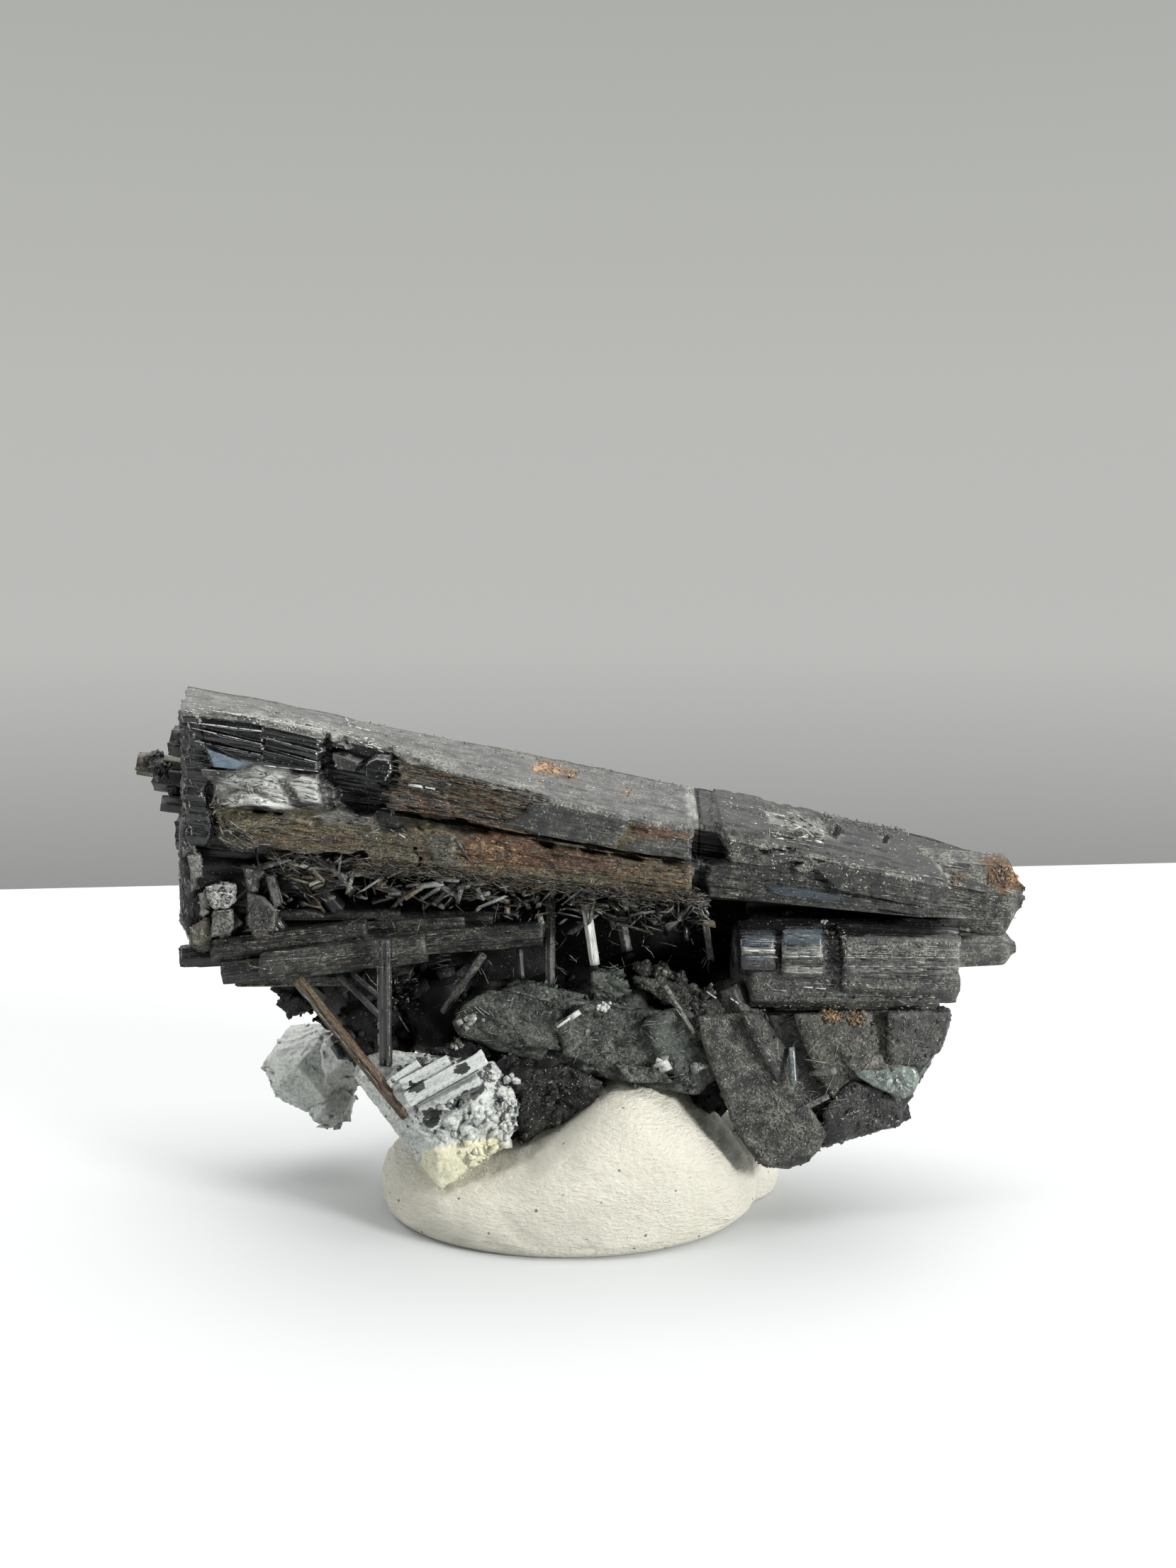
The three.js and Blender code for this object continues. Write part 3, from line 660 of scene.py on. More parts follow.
def schorl_material(name, specular):
    """Black tourmaline: streaks along each crystal, grey dust on it, rust, bright specks of dust and painted
    glints, and painted highlights and blue reflections.
    """
    n = new_material(name)
    grain, rust, gloss, dust, pale, cool = map(n.mark, ("grain", "rust", "gloss", "dust", "pale", "cool"))
    streak, streak_fine = n.noise(grain, 7.0, 4.0, 0.6), n.noise(grain, 22.0, 2.0, 0.6)
    cloud, fine = n.patches(1.1, 5.0, 0.7), n.patches(7.0, 3.0, 0.7)
    black = n.mix(n.ramp(streak_fine, 0.35, 0.75), *TOURMALINE)
    # grey dust lies in streaks where it is thin and in an even film where it is thick
    thick = n.ramp(dust, 0.30, 0.55)
    streaky = n.blend(n.times(thick, 0.75), n.ramp(streak, 0.36, 0.60, 0.22, 1.15), 0.75)
    film = n.times(n.ramp(cloud, 0.40, 0.60, 0.06, 1.25), streaky)
    film = n.times(film, n.ramp(fine, 0.40, 0.60, 0.12, 1.6))
    dusted = n.mix(n.times(film, dust), black, GREY_DUST)
    # a painted blue reflection where the bluish mark is set
    bluish = n.mix(n.times(cool, n.ramp(streak_fine, 0.3, 0.6, 0.5, 1.0)), dusted, PAINTED_BLUE_REFLECTION)
    # silver where the pale mark is set: partly pale stone, partly painted highlights
    silver = n.mix(n.times(pale, n.ramp(streak_fine, 0.35, 0.60, 0.25, 1.0)), bluish, SILVER_SHINE)
    # rust turns from olive through brown to orange as it grows
    level = n.plus(rust, n.times(n.plus(n.times(n.patches(3.0, 5.0, 0.8), 0.6), n.times(streak, 0.4)), 1.6))
    grains = n.ramp(fine, 0.35, 0.65)
    stain = n.mix(n.ramp(level, 1.05, 1.25), n.mix(grains, *OLIVE_STAIN), n.mix(grains, *BROWN_STAIN))
    stain = n.mix(n.ramp(level, 1.42, 1.62), stain, n.mix(n.ramp(fine, 0.36, 0.66), *ORANGE_STAIN))
    stain = n.mix(n.ramp(streak_fine, 0.40, 0.53, 0.8, 0.0), stain, STAIN_GAPS)
    covered_share = n.times(n.ramp(rust, 0.02, 0.2), n.ramp(n.plus(level, rust), 0.70, 1.10))
    stained = n.mix(covered_share, silver, stain)
    # bright specks: partly dust, partly painted glints
    speck = n.ramp(n.plus(n.patches(9.0, 2.0, 0.75), n.times(dust, 0.03)), 0.685, 0.735)
    colour = n.mix(n.times(speck, 0.85), stained, DUST_SPECK_AND_GLINT)
    rough = n.plus(n.ramp(gloss, 0.0, 1.0, 0.50, 0.10), n.times(n.ramp(streak, 0.3, 0.7), 0.12))
    rough = n.plus(rough, n.times(n.plus(rust, dust), 0.16))
    calm = n.ramp(gloss, 0.8, 1.0, 1.0, 0.3)
    ribs = n.bump(streak, 0.05, n.times(n.ramp(thick, 0.0, 1.0, 0.9, 0.4), calm))
    ribs = n.bump(streak_fine, 0.025, n.times(n.ramp(thick, 0.0, 1.0, 0.7, 0.3), calm), Normal=ribs)
    shape = n.bump(fine, 0.045, n.ramp(gloss, 0.0, 0.5, 0.9, 0.2), Normal=ribs)
    return n.finish(Base_Color=colour, Roughness=rough, Normal=shape, IOR=1.64, Specular_IOR_Level=specular)


def matrix_material():
    """Dusty grey-green rock with white specks."""
    n = new_material("grey_green_rock")
    cloud, fine = n.patches(0.8, 5.0, 0.7), n.patches(6.0, 4.0, 0.75)
    base = n.mix(n.ramp(cloud, 0.42, 0.60), *GREEN_ROCK)
    film = n.times(n.ramp(fine, 0.44, 0.64, 0.0, 1.3), n.ramp(cloud, 0.40, 0.58, 0.1, 1.1))
    dusted = n.mix(n.times(film, n.mark("dust")), base, ROCK_DUST)
    specks = n.ramp(n.patches(8.0, 2.0, 0.8), 0.70, 0.74)
    colour = n.mix(n.mark("pale"), n.mix(n.times(specks, 0.8), dusted, ROCK_SPECK), ROCK_WHITE)
    shape = n.bump(n.patches(3.0, 5.0, 0.75), 0.10, 0.9)
    rough = n.ramp(fine, 0.3, 0.7, 0.30, 0.7)
    return n.finish(Base_Color=colour, Roughness=rough, Normal=shape, IOR=1.6, Specular_IOR_Level=0.25)


def feldspar_material():
    """White to clear feldspar: a painted silvery sheen on its cleavage, black inclusions and a creamy tip."""
    n = new_material("white_feldspar")
    cloud, fine = n.patches(0.8, 5.0, 0.7), n.patches(5.0, 4.0, 0.7)
    clear = n.mix(n.ramp(cloud, 0.35, 0.65), *CLEAR_FELDSPAR)
    frosted = n.mix(n.ramp(fine, 0.45, 0.64, 0.0, 0.8), clear, FROSTED_FELDSPAR)
    # silky streaks where the pale mark is set: a painted sheen
    silk = n.ramp(n.noise(n.mark("grain"), 5.0, 4.0, 0.65), 0.38, 0.6)
    streaked = n.mix(n.times(n.mark("pale"), silk), frosted, SILKY_SHEEN)
    cream = n.mix(n.times(n.mark("rust"), n.ramp(cloud, 0.3, 0.6, 0.5, 1.0)), streaked, CREAM_FELDSPAR)
    spot = n.plus(n.patches(1.7, 5.0, 0.75), n.times(n.mark("dust"), 0.30))
    colour = n.mix(n.ramp(spot, 0.64, 0.68), cream, INCLUSION)
    shape = n.bump(n.patches(2.6, 5.0, 0.75), 0.10, 0.8)
    rough = n.ramp(fine, 0.3, 0.7, 0.18, 0.5)
    return n.finish(Base_Color=colour, Roughness=rough, Normal=shape, IOR=1.53, Transmission_Weight=0.25)


def pale_crystal_material():
    """A translucent grey-green mineral."""
    n = new_material("pale_green_mineral")
    base = n.mix(n.ramp(n.patches(1.2, 5.0, 0.7), 0.35, 0.65), *PALE_GREEN)
    colour = n.mix(n.ramp(n.patches(6.0, 4.0, 0.7), 0.50, 0.70, 0.0, 0.7), base, PALE_GREEN_FROST)
    shape = n.bump(n.patches(3.0, 4.0, 0.7), 0.06, 0.7)
    return n.finish(Base_Color=colour, Roughness=0.25, Normal=shape, IOR=1.55, Transmission_Weight=0.3)


def tack_material():
    """Off-white putty: matte, finely wrinkled, with painted shade in its creases and a few dark specks."""
    n = new_material("mineral_tack")
    base = n.mix(n.ramp(n.patches(0.25, 4.0, 0.6), 0.3, 0.7), *PUTTY)
    wrinkle = n.noise(n.mark("grain"), 2.2, 5.0, 0.65)
    # painted shade in the troughs of the wrinkles
    crease_shaded = n.mix(n.ramp(wrinkle, 0.25, 0.5, 0.5, 0.0), base, PUTTY_CREASE_SHADE)
    cells = n.add("ShaderNodeTexVoronoi", {"Vector": n.place, "Scale": 1.1 * PER_MM})
    dot = n.ramp(cells.outputs["Distance"], 0.08, 0.13, 1.0, 0.0)
    shown = n.ramp(n.patches(0.9, 2.0), 0.49, 0.53)
    colour = n.mix(n.times(n.times(dot, shown), 0.85), crease_shaded, PUTTY_SPECK)
    soft = n.bump(wrinkle, 0.45, 1.0)
    fine = n.bump(n.patches(6.0, 3.0, 0.6), 0.03, 0.5, Normal=soft)
    return n.finish(
        Base_Color=colour, Roughness=0.55, Normal=fine,
        Subsurface_Weight=0.10, Subsurface_Radius=(0.0010, 0.0008, 0.0005), Subsurface_Scale=1.0,
    )


# ---- the main crystal ----------------------------------------------------------------------------

BLACK, GLASSY = dict(gloss=0.8, dust=0.0), dict(gloss=1.0, dust=0.0)

# Patches of the front, by their outlines in the photograph's pixels: the depth y in millimetres, how
# fast it leans back with height, how fibrous it is, its marks and its outline. Later ones cover
# earlier ones.
FRONT_PATCHES = [
    # the left end: a ragged dark band, then the glossy black steps under the rim
    (-4.75, 0.0, 0.9, dict(gloss=0.8, dust=0.02),
     [(240, 1000), (272, 1000), (284, 1100), (276, 1310), (240, 1310)]),
    (-4.55, 0.1, 0.3, dict(gloss=0.9, dust=0.0),
     [(262, 1002), (360, 1012), (462, 1034), (462, 1092), (272, 1085)]),
    (-4.75, 0.02, 0.0, GLASSY, [(268, 1020), (371, 1033), (371, 1050), (271, 1028)]),
    (-4.9, -0.03, 0.0, GLASSY, [(271, 1028), (371, 1050), (371, 1065), (273, 1045)]),
    (-5.05, 0.02, 0.0, GLASSY, [(273, 1045), (371, 1065), (371, 1080), (358, 1080), (306, 1062)]),
    (-4.65, 0.02, 0.0, GLASSY, [(369, 1024), (448, 1042), (448, 1060), (369, 1041)]),
    (-4.8, -0.02, 0.0, GLASSY, [(372, 1041), (448, 1060), (448, 1076), (372, 1056)]),
    (-4.95, 0.02, 0.0, GLASSY, [(368, 1056), (448, 1076), (448, 1090), (368, 1084)]),
    # a facet with a painted blue reflection
    (-5.05, 0.15, 0.1, dict(gloss=0.7, cool=1.0),
     [(274, 1054), (306, 1060), (361, 1079), (356, 1087), (294, 1085)]),
    # the lumpy shell-like break below them
    (-5.0, 0.05, 1.0, dict(dust=0.3, gloss=0.5, pale=0.03),
     [(276, 1086), (372, 1083), (452, 1092), (456, 1138), (400, 1150), (300, 1150)]),
    # The pale patches of the break are painted silver-white highlights, one of them on a flat facet.
    (-5.05, 0.1, 1.0, dict(pale=0.35, dust=0.4, gloss=0.5),
     [(292, 1108), (340, 1092), (440, 1092), (420, 1140), (372, 1148), (318, 1136)]),
    (-5.08, 0.1, 1.0, dict(pale=0.8, dust=0.4, gloss=0.5),
     [(336, 1104), (362, 1090), (400, 1094), (412, 1128), (384, 1140), (346, 1120)]),
    (-5.1, 0.1, 0.5, dict(pale=0.95, dust=0.4, gloss=0.5),
     [(366, 1094), (395, 1100), (405, 1134), (370, 1138)]),
    (-5.2, 0.0, 0.0, dict(dust=0.55, gloss=0.3), [(389, 1097), (409, 1099), (429, 1133), (409, 1128)]),
    (-5.3, 0.1, 0.0, dict(pale=0.62, dust=0.5, gloss=0.3),
     [(409, 1104), (424, 1092), (447, 1101), (453, 1134), (426, 1130)]),
    (-5.0, 0.05, 0.9, dict(dust=0.3, rust=0.2),
     [(296, 1140), (400, 1146), (515, 1146), (545, 1200), (430, 1206), (318, 1196)]),
    (-5.06, 0.05, 0.9, dict(dust=0.45, rust=0.34),
     [(340, 1176), (400, 1166), (500, 1170), (530, 1192), (430, 1196), (350, 1194)]),
    (-5.05, 0.05, 0.9, dict(pale=0.22, rust=0.1), [(440, 1146), (512, 1144), (520, 1160), (450, 1166)]),
    # the black pit, its dust taken away as painted shade, with painted flat glints in it and a six-sided end
    # beside it
    (-3.4, 0.0, 0.9, dict(gloss=0.7, dust=0.0),
     [(452, 1040), (508, 1050), (560, 1070), (556, 1104), (540, 1118), (552, 1142), (500, 1150),
     (480, 1138), (452, 1095)]),
    (-4.7, 0.3, 0.1, dict(dust=0.22), [(462, 1062), (486, 1066), (506, 1077), (503, 1092), (472, 1087)]),
    (-4.3, 0.2, 0.1, dict(gloss=0.8, dust=0.1), [(458, 1044), (488, 1052), (494, 1064), (462, 1058)]),
    (-5.4, 0.2, 0.0, dict(gloss=1.0, dust=0.02),
     [(516, 1074), (530, 1068), (552, 1072), (558, 1088), (548, 1103), (522, 1104), (513, 1090)]),
    # the upper slab
    (-5.5, 0.03, 1.0, dict(dust=0.16, rust=0.24),
     [(560, 1060), (980, 1150), (983, 1215), (868, 1205), (733, 1181), (613, 1155), (548, 1143),
     (552, 1106), (562, 1090)]),
    (-5.6, 0.15, 0.8, dict(pale=0.06, dust=0.3, rust=0.14),
     [(560, 1072), (640, 1083), (700, 1104), (760, 1118), (700, 1116), (610, 1096)]),
    (-5.55, 0.05, 0.9, dict(rust=0.55, dust=0.1),
     [(548, 1120), (600, 1116), (690, 1146), (700, 1166), (613, 1155), (549, 1143)]),
    (-5.55, 0.05, 0.9, dict(rust=0.42, dust=0.1),
     [(640, 1098), (690, 1106), (760, 1122), (730, 1144), (690, 1136), (640, 1116)]),
    (-5.68, -0.04, 0.4, dict(dust=0.24, gloss=0.3),
     [(713, 1160), (733, 1147), (757, 1130), (783, 1125), (820, 1133), (880, 1143), (890, 1155),
     (866, 1192), (793, 1190), (740, 1172)]),
    (-5.58, 0.0, 0.9, dict(dust=0.3, rust=0.44), [(880, 1150), (975, 1162), (978, 1186), (900, 1178)]),
    (-5.58, 0.0, 0.4, dict(dust=0.32, gloss=0.3), [(870, 1194), (900, 1180), (978, 1188), (980, 1214)]),
    # the lower slab
    (-5.2, 0.02, 1.0, dict(dust=0.26, rust=0.3),
     [(575, 1168), (640, 1170), (760, 1186), (868, 1207), (975, 1222), (975, 1264), (880, 1264),
     (760, 1250), (650, 1236), (596, 1226)]),
    (-5.3, 0.0, 0.5, dict(dust=0.42, rust=0.1), [(597, 1174), (640, 1178), (650, 1222), (612, 1222)]),
    (-5.28, 0.0, 1.0, dict(rust=0.66, dust=0.2),
     [(655, 1176), (730, 1184), (790, 1196), (790, 1226), (700, 1222), (664, 1214)]),
    (-5.28, 0.0, 1.0, dict(rust=0.5, dust=0.2), [(730, 1186), (868, 1210), (868, 1228), (760, 1224)]),
    (-5.25, 0.0, 1.0, dict(rust=0.24, dust=0.5, pale=0.08),
     [(713, 1222), (833, 1224), (860, 1240), (820, 1254), (730, 1244)]),
    (-5.05, 0.05, 0.9, dict(dust=0.28, rust=0.18), [(500, 1172), (575, 1172), (600, 1226), (520, 1224)]),
    # right of the crack
    (-4.95, 0.1, 0.7, dict(dust=0.32, gloss=0.4),
     [(1000, 1170), (1140, 1195), (1345, 1232), (1345, 1300), (1180, 1286), (1000, 1270)]),
    (-5.15, 0.06, 0.2, dict(dust=0.44, gloss=0.3),
     [(1024, 1176), (1140, 1196), (1150, 1216), (1085, 1222), (1024, 1216)]),
    (-5.25, 0.02, 0.0, dict(dust=0.26, gloss=0.3),
     [(1140, 1220), (1193, 1210), (1330, 1240), (1337, 1263), (1293, 1277), (1180, 1257)]),
    (-5.3, 0.05, 0.0, dict(dust=0.62, gloss=0.3), [(1114, 1224), (1145, 1210), (1160, 1222), (1133, 1234)]),
    (-3.4, 0.1, 0.6, dict(dust=0.42, gloss=0.4),
     [(1344, 1236), (1440, 1240), (1440, 1334), (1320, 1306), (1308, 1294), (1324, 1284), (1338, 1278)]),
    # a band with a painted blue reflection
    (-5.1, -0.1, 0.1, dict(gloss=0.8, dust=0.06, cool=0.22),
     [(1080, 1249), (1130, 1252), (1200, 1262), (1204, 1274), (1150, 1272), (1086, 1262)]),
    (-5.05, 0.0, 0.1, dict(dust=0.26, gloss=0.6),
     [(1180, 1262), (1290, 1278), (1322, 1282), (1314, 1288), (1190, 1280)]),
    # a slit, its dust taken away as painted shade
    (-4.1, 0.0, 0.2, BLACK, [(1070, 1199), (1100, 1198), (1138, 1206), (1134, 1210), (1076, 1205)]),
    # the notch beside the crack, its dust taken away as painted shade
    (-3.0, 0.0, 0.9, dict(gloss=0.6, dust=0.0),
     [(984, 1150), (1000, 1160), (1026, 1172), (1028, 1212), (1000, 1224), (976, 1216), (978, 1190)]),
    # the dark recess under the lumpy break, its dust taken away as painted shade
    (-3.6, 0.0, 0.4, dict(gloss=0.6, dust=0.0),
     [(317, 1208), (360, 1210), (437, 1208), (430, 1228), (350, 1230)]),
]

# Patches of the top strip: its lift in millimetres takes the place of the depth.
TOP_PATCHES = [
    (0.0, 0.0, 0.2, dict(dust=0.46), [(240, 960), (470, 980), (470, 1100), (240, 1100)]),
    (0.06, 0.0, 0.4, dict(dust=0.8, pale=0.12),
     [(300, 1000), (380, 1008), (460, 1022), (520, 1042), (520, 1056), (440, 1036), (300, 1012)]),
    (-0.05, 0.0, 0.1, dict(dust=0.75), [(555, 1056), (620, 1062), (680, 1078), (690, 1092), (600, 1074)]),
    (-0.12, 0.0, 0.0, dict(gloss=0.8, dust=0.1, rust=0.1),
     [(700, 1088), (712, 1086), (748, 1093), (742, 1097)]),
    (0.05, 0.0, 0.0, dict(dust=0.8), [(703, 1098), (745, 1098), (768, 1110), (764, 1117), (716, 1106)]),
    (0.02, 0.0, 0.5, dict(rust=0.92, dust=0.6),
     [(748, 1078), (770, 1074), (796, 1084), (790, 1096), (756, 1090)]),
    (0.02, 0.0, 0.5, dict(rust=0.55, dust=0.6), [(790, 1084), (816, 1088), (812, 1098), (790, 1096)]),
    (0.02, 0.0, 0.5, dict(rust=0.6, dust=0.6), [(878, 1112), (892, 1114), (892, 1122), (878, 1120)]),
    (0.05, 0.0, 0.4, dict(pale=0.24, rust=0.04, dust=0.5),
     [(964, 1108), (980, 1112), (986, 1156), (972, 1156)]),
    (0.3, 0.0, 0.4, dict(dust=0.18, gloss=0.0),
     [(1000, 1112), (1080, 1132), (1160, 1150), (1160, 1186), (1004, 1176)]),
    (0.1, 0.0, 0.8, dict(dust=0.5, pale=0.12),
     [(1073, 1143), (1140, 1156), (1176, 1180), (1120, 1178), (1080, 1164)]),
    # two pits, their dust taken away as painted shade
    (-0.55, 0.0, 0.3, dict(gloss=0.7, dust=0.05),
     [(1168, 1166), (1180, 1163), (1188, 1172), (1178, 1182), (1168, 1176)]),
    (-0.5, 0.0, 0.3, dict(gloss=0.7, dust=0.05), [(1240, 1176), (1252, 1174), (1259, 1182), (1248, 1190)]),
    (0.0, 0.0, 0.8, dict(pale=0.25, dust=0.5), [(1322, 1212), (1356, 1214), (1362, 1228), (1330, 1230)]),
    (0.0, 0.0, 0.9, dict(rust=0.55, dust=0.4), [(1384, 1210), (1420, 1212), (1420, 1262), (1396, 1240)]),
]

USUAL_FIBRES = 0.8  # how fibrous the surface is between the patches
HOLLOWS = (-4.2, -2.0)  # the depths of the patches whose marks spill less, in y
PATCH_REACH = 12  # how far outside its outline a patch may still show, in pixels


def covered(patches, u, v, depth, height, wobble):
    """Lays patches over a surface: its depth, its fibrousness and its marks at each pixel."""
    marks = {name: np.full(len(u), usual) for name, usual in MARKS.items()}
    fibrous = np.full(len(u), USUAL_FIBRES)
    for patch_depth, lean, rough, looks, outline in patches:
        corners = np.array(outline, float)
        low, high = corners.min(0) - PATCH_REACH, corners.max(0) + PATCH_REACH
        near = np.flatnonzero((u > low[0]) & (u < high[0]) & (v > low[1]) & (v < high[1]))
        if not len(near):
            continue
        inside = depth_inside(outline, u[near], v[near]) + wobble[near] * (0.4 + 2.2 * rough)
        share = smooth(0.0, 2.2, inside)
        lift = patch_depth + lean * (height[near] - height[near].mean())
        depth[near] = depth[near] * (1 - share) + lift * share
        fibrous[near] = fibrous[near] * (1 - share) + rough * share
        spill = 2.0 if HOLLOWS[0] < patch_depth < HOLLOWS[1] else 0.0
        soft = smooth(-1.5 - 4 * rough - spill, 2.0 + 4 * rough - spill, inside)
        for name, values in marks.items():
            values[near] = values[near] * (1 - soft) + patch_mark(looks, name) * soft
    return depth, fibrous, marks


FRONT_SPAN = 5.5


def fan(x, z):
    """Height up the front in lines that follow the crystal's own edges, about in millimetres."""
    return FRONT_SPAN * (z - low_edge(x)) / (ridge(x) - low_edge(x))


FRONT_SEEN = -5.0  # the depth at which the front's pixels are read
SEAM_DEPTH, SEAM_WIDTH, SEAM_GAPE = 0.9, 0.06, 0.20  # the seam's size, and how much wider at its left
SHELL_AT, SHELL_HALF, SHELL_DEPTH = (-17.4, 24.0), (4.0, 2.0), 0.30  # the lumpy break, by x and height
# The break's bright middle is a painted highlight.
LIT_AT, LIT_HALF = (-17.0, 24.3), (3.6, 1.35)  # its bright middle
FIBRE_DEPTH, CHIP_DEPTH = 0.10, 0.16


def off_middle(x, z, at, half):
    """How far places are from the middle of an oval, as a share of its half sizes."""
    return np.hypot((x - at[0]) / half[0], (z - at[1]) / half[1])


def front_surface(x, z):
    """The y of the main crystal's front, with its slabs, steps and hollows, and its marks."""
    rim, low = ridge(x), low_edge(x)
    middle = (rim + low) / 2
    bevel = RIM_BEVEL * smooth(middle, rim - RIM_BEVEL, z)
    y = np.where(z > middle, FRONT - bevel, FRONT + FOOT_IN * smooth(middle, low, z))
    w = fan(x, z)
    u, v = to_pixel(stack(x, FRONT_SEEN, z))
    wobble = 3.4 * waves(x, w, 0.8, 1.6, 13) + 1.3 * waves(x, w, 2.2, 3.4, 14)
    y, fibrous, marks = covered(FRONT_PATCHES, u, v, y, z, wobble)
    # the dark seam between the upper and lower slabs, wide at its left and a thread at its right
    line = seam(x) - 0.02 + 0.10 * waves(x, 0.0, 0.7, 1.0, 43)
    gape = SEAM_GAPE * smooth(-10.4, -9.0, x) * smooth(-2.0, -6.0, x)
    width = SEAM_WIDTH + gape + 0.02 * waves(x, 1.0, 1.3, 1.0, 48)
    cut = smooth(width + 0.08, width * 0.5, np.abs(z - line)) * smooth(-10.8, -10.0, x) * smooth(7.4, 6.8, x)
    y = y + SEAM_DEPTH * cut
    # the dust is taken out of the seam as painted shade
    marks["dust"] *= 1 - cut
    # the shell-like waves of the lumpy break, with painted highlights on their swirls and bare black stone
    # between them
    shell = smooth(1.0, 0.7, off_middle(x, z, SHELL_AT, SHELL_HALF))
    curl = stack(x * 0.36 + 0.22 * (z - SHELL_AT[1]) ** 2, z * 1.5 + 0.5 * np.sin(x * 0.8), 0.0)
    y = y - SHELL_DEPTH * shell * fibrous * ridged(curl, 3, 31)
    lit = smooth(-0.4, 0.8, ridged(curl * 1.9, 3, 33) + 0.5 * waves(x, z, 1.1, 1.6, 34))
    fade = smooth(1.1, 0.6, off_middle(x, z, LIT_AT, LIT_HALF))
    marks["pale"] *= 1 - shell * (1 - 1.45 * lit * fade)
    marks["dust"] *= 1 - shell * (1 - 1.4 * lit)
    # ribs, fibres and long chips
    y = y + fibrous * FIBRE_DEPTH * ridged(stack(x * 0.22, w * 1.8, 0.0), 3, 44)
    y = y + fibrous * CHIP_DEPTH * smooth(0.34, 0.42, waves(x, w, 0.5, 2.6, 45, 2.0))
    y = y + 0.020 * waves(x, w, 0.16, 7.0, 46) + 0.012 * waves(x, w, 0.5, 17.0, 47)
    return y, marks


# The dust on the top strip and its gloss, by x: both change at the crack.
TOP_DUST = ([-22, -10, 0, 7.5, 7.7, 16, 24], [0.40, 0.42, 0.40, 0.36, 0.14, 0.12, 0.12])
TOP_GLOSS = ([4.0, 8.0], [0.22, 0.0])


def top_surface(points):
    """How far the top strip is lifted, with its ribs, pits and lips, and its marks."""
    x, y = points[:, 0], points[:, 1]
    u, v = to_pixel(points)
    wobble = 2.4 * waves(x, y, 0.9, 1.1, 15) + 1.8 * waves(x, y, 3.0, 3.0, 16)
    lift, _, marks = covered(TOP_PATCHES, u, v, np.zeros(len(x)), y, wobble)
    bare = marks["dust"] == MARKS["dust"]
    for name, by_x in (("dust", TOP_DUST), ("gloss", TOP_GLOSS)):
        marks[name] = np.where(bare, np.interp(x, *by_x), marks[name])
    lift = lift + 0.014 * waves(x, y, 0.2, 5.0, 51) + 0.006 * waves(x, y, 0.7, 13.0, 52)
    lift = lift - 0.10 * smooth(0.40, 0.46, waves(x, y, 0.4, 1.8, 53)) * smooth(1.0, -1.0, y)
    lift = lift - 0.08 * smooth(0.32, 0.38, waves(x, y, 0.9, 3.2, 54, 4.0)) * smooth(-2.0, -4.0, y)
    rough = fbm(stack(x * 1.6, y * 1.6, 1.0), 3, 57)
    lift = lift + 0.06 * rough * smooth(8.0, 14.0, x) * smooth(-1.0, 1.5, y)
    lift = lift - 0.30 * smooth(0.12, 0.05, np.abs(x - CRACK - 0.12 + 0.06 * waves(y, 0.0, 1.0, 1.0, 56)))
    return lift, marks


def broken_end(points):
    """The x of points once the left end is slanted and ragged."""
    ragged = 0.10 * fbm(stack(0.0, points[:, 1] * 1.1, points[:, 2] * 2.4), 4, 61)
    near_end = smooth(LEFT_END + 4, LEFT_END, points[:, 0])
    return points[:, 0] + near_end * (END_SLANT * points[:, 1] + np.maximum(ragged, -0.1))


# The rings that close an end of the main crystal, as shares of its section; the first keeps the edge.
CAP_RINGS = (0.97, 0.9, 0.82, 0.73, 0.64, 0.55, 0.46, 0.37, 0.28, 0.19, 0.1)
CAP_MARKS = dict(dust=0.2, gloss=0.2)
CAP_SINK, CAP_ROUGH, CAP_MIDDLE = 0.2, 0.28, 0.3  # how deep the broken end lies, and how rough it is
RIM_DUST = 0.7
SLIM_FROM, SLIMMER = 20, 0.14  # where the section starts to shrink, and by how much at the right end


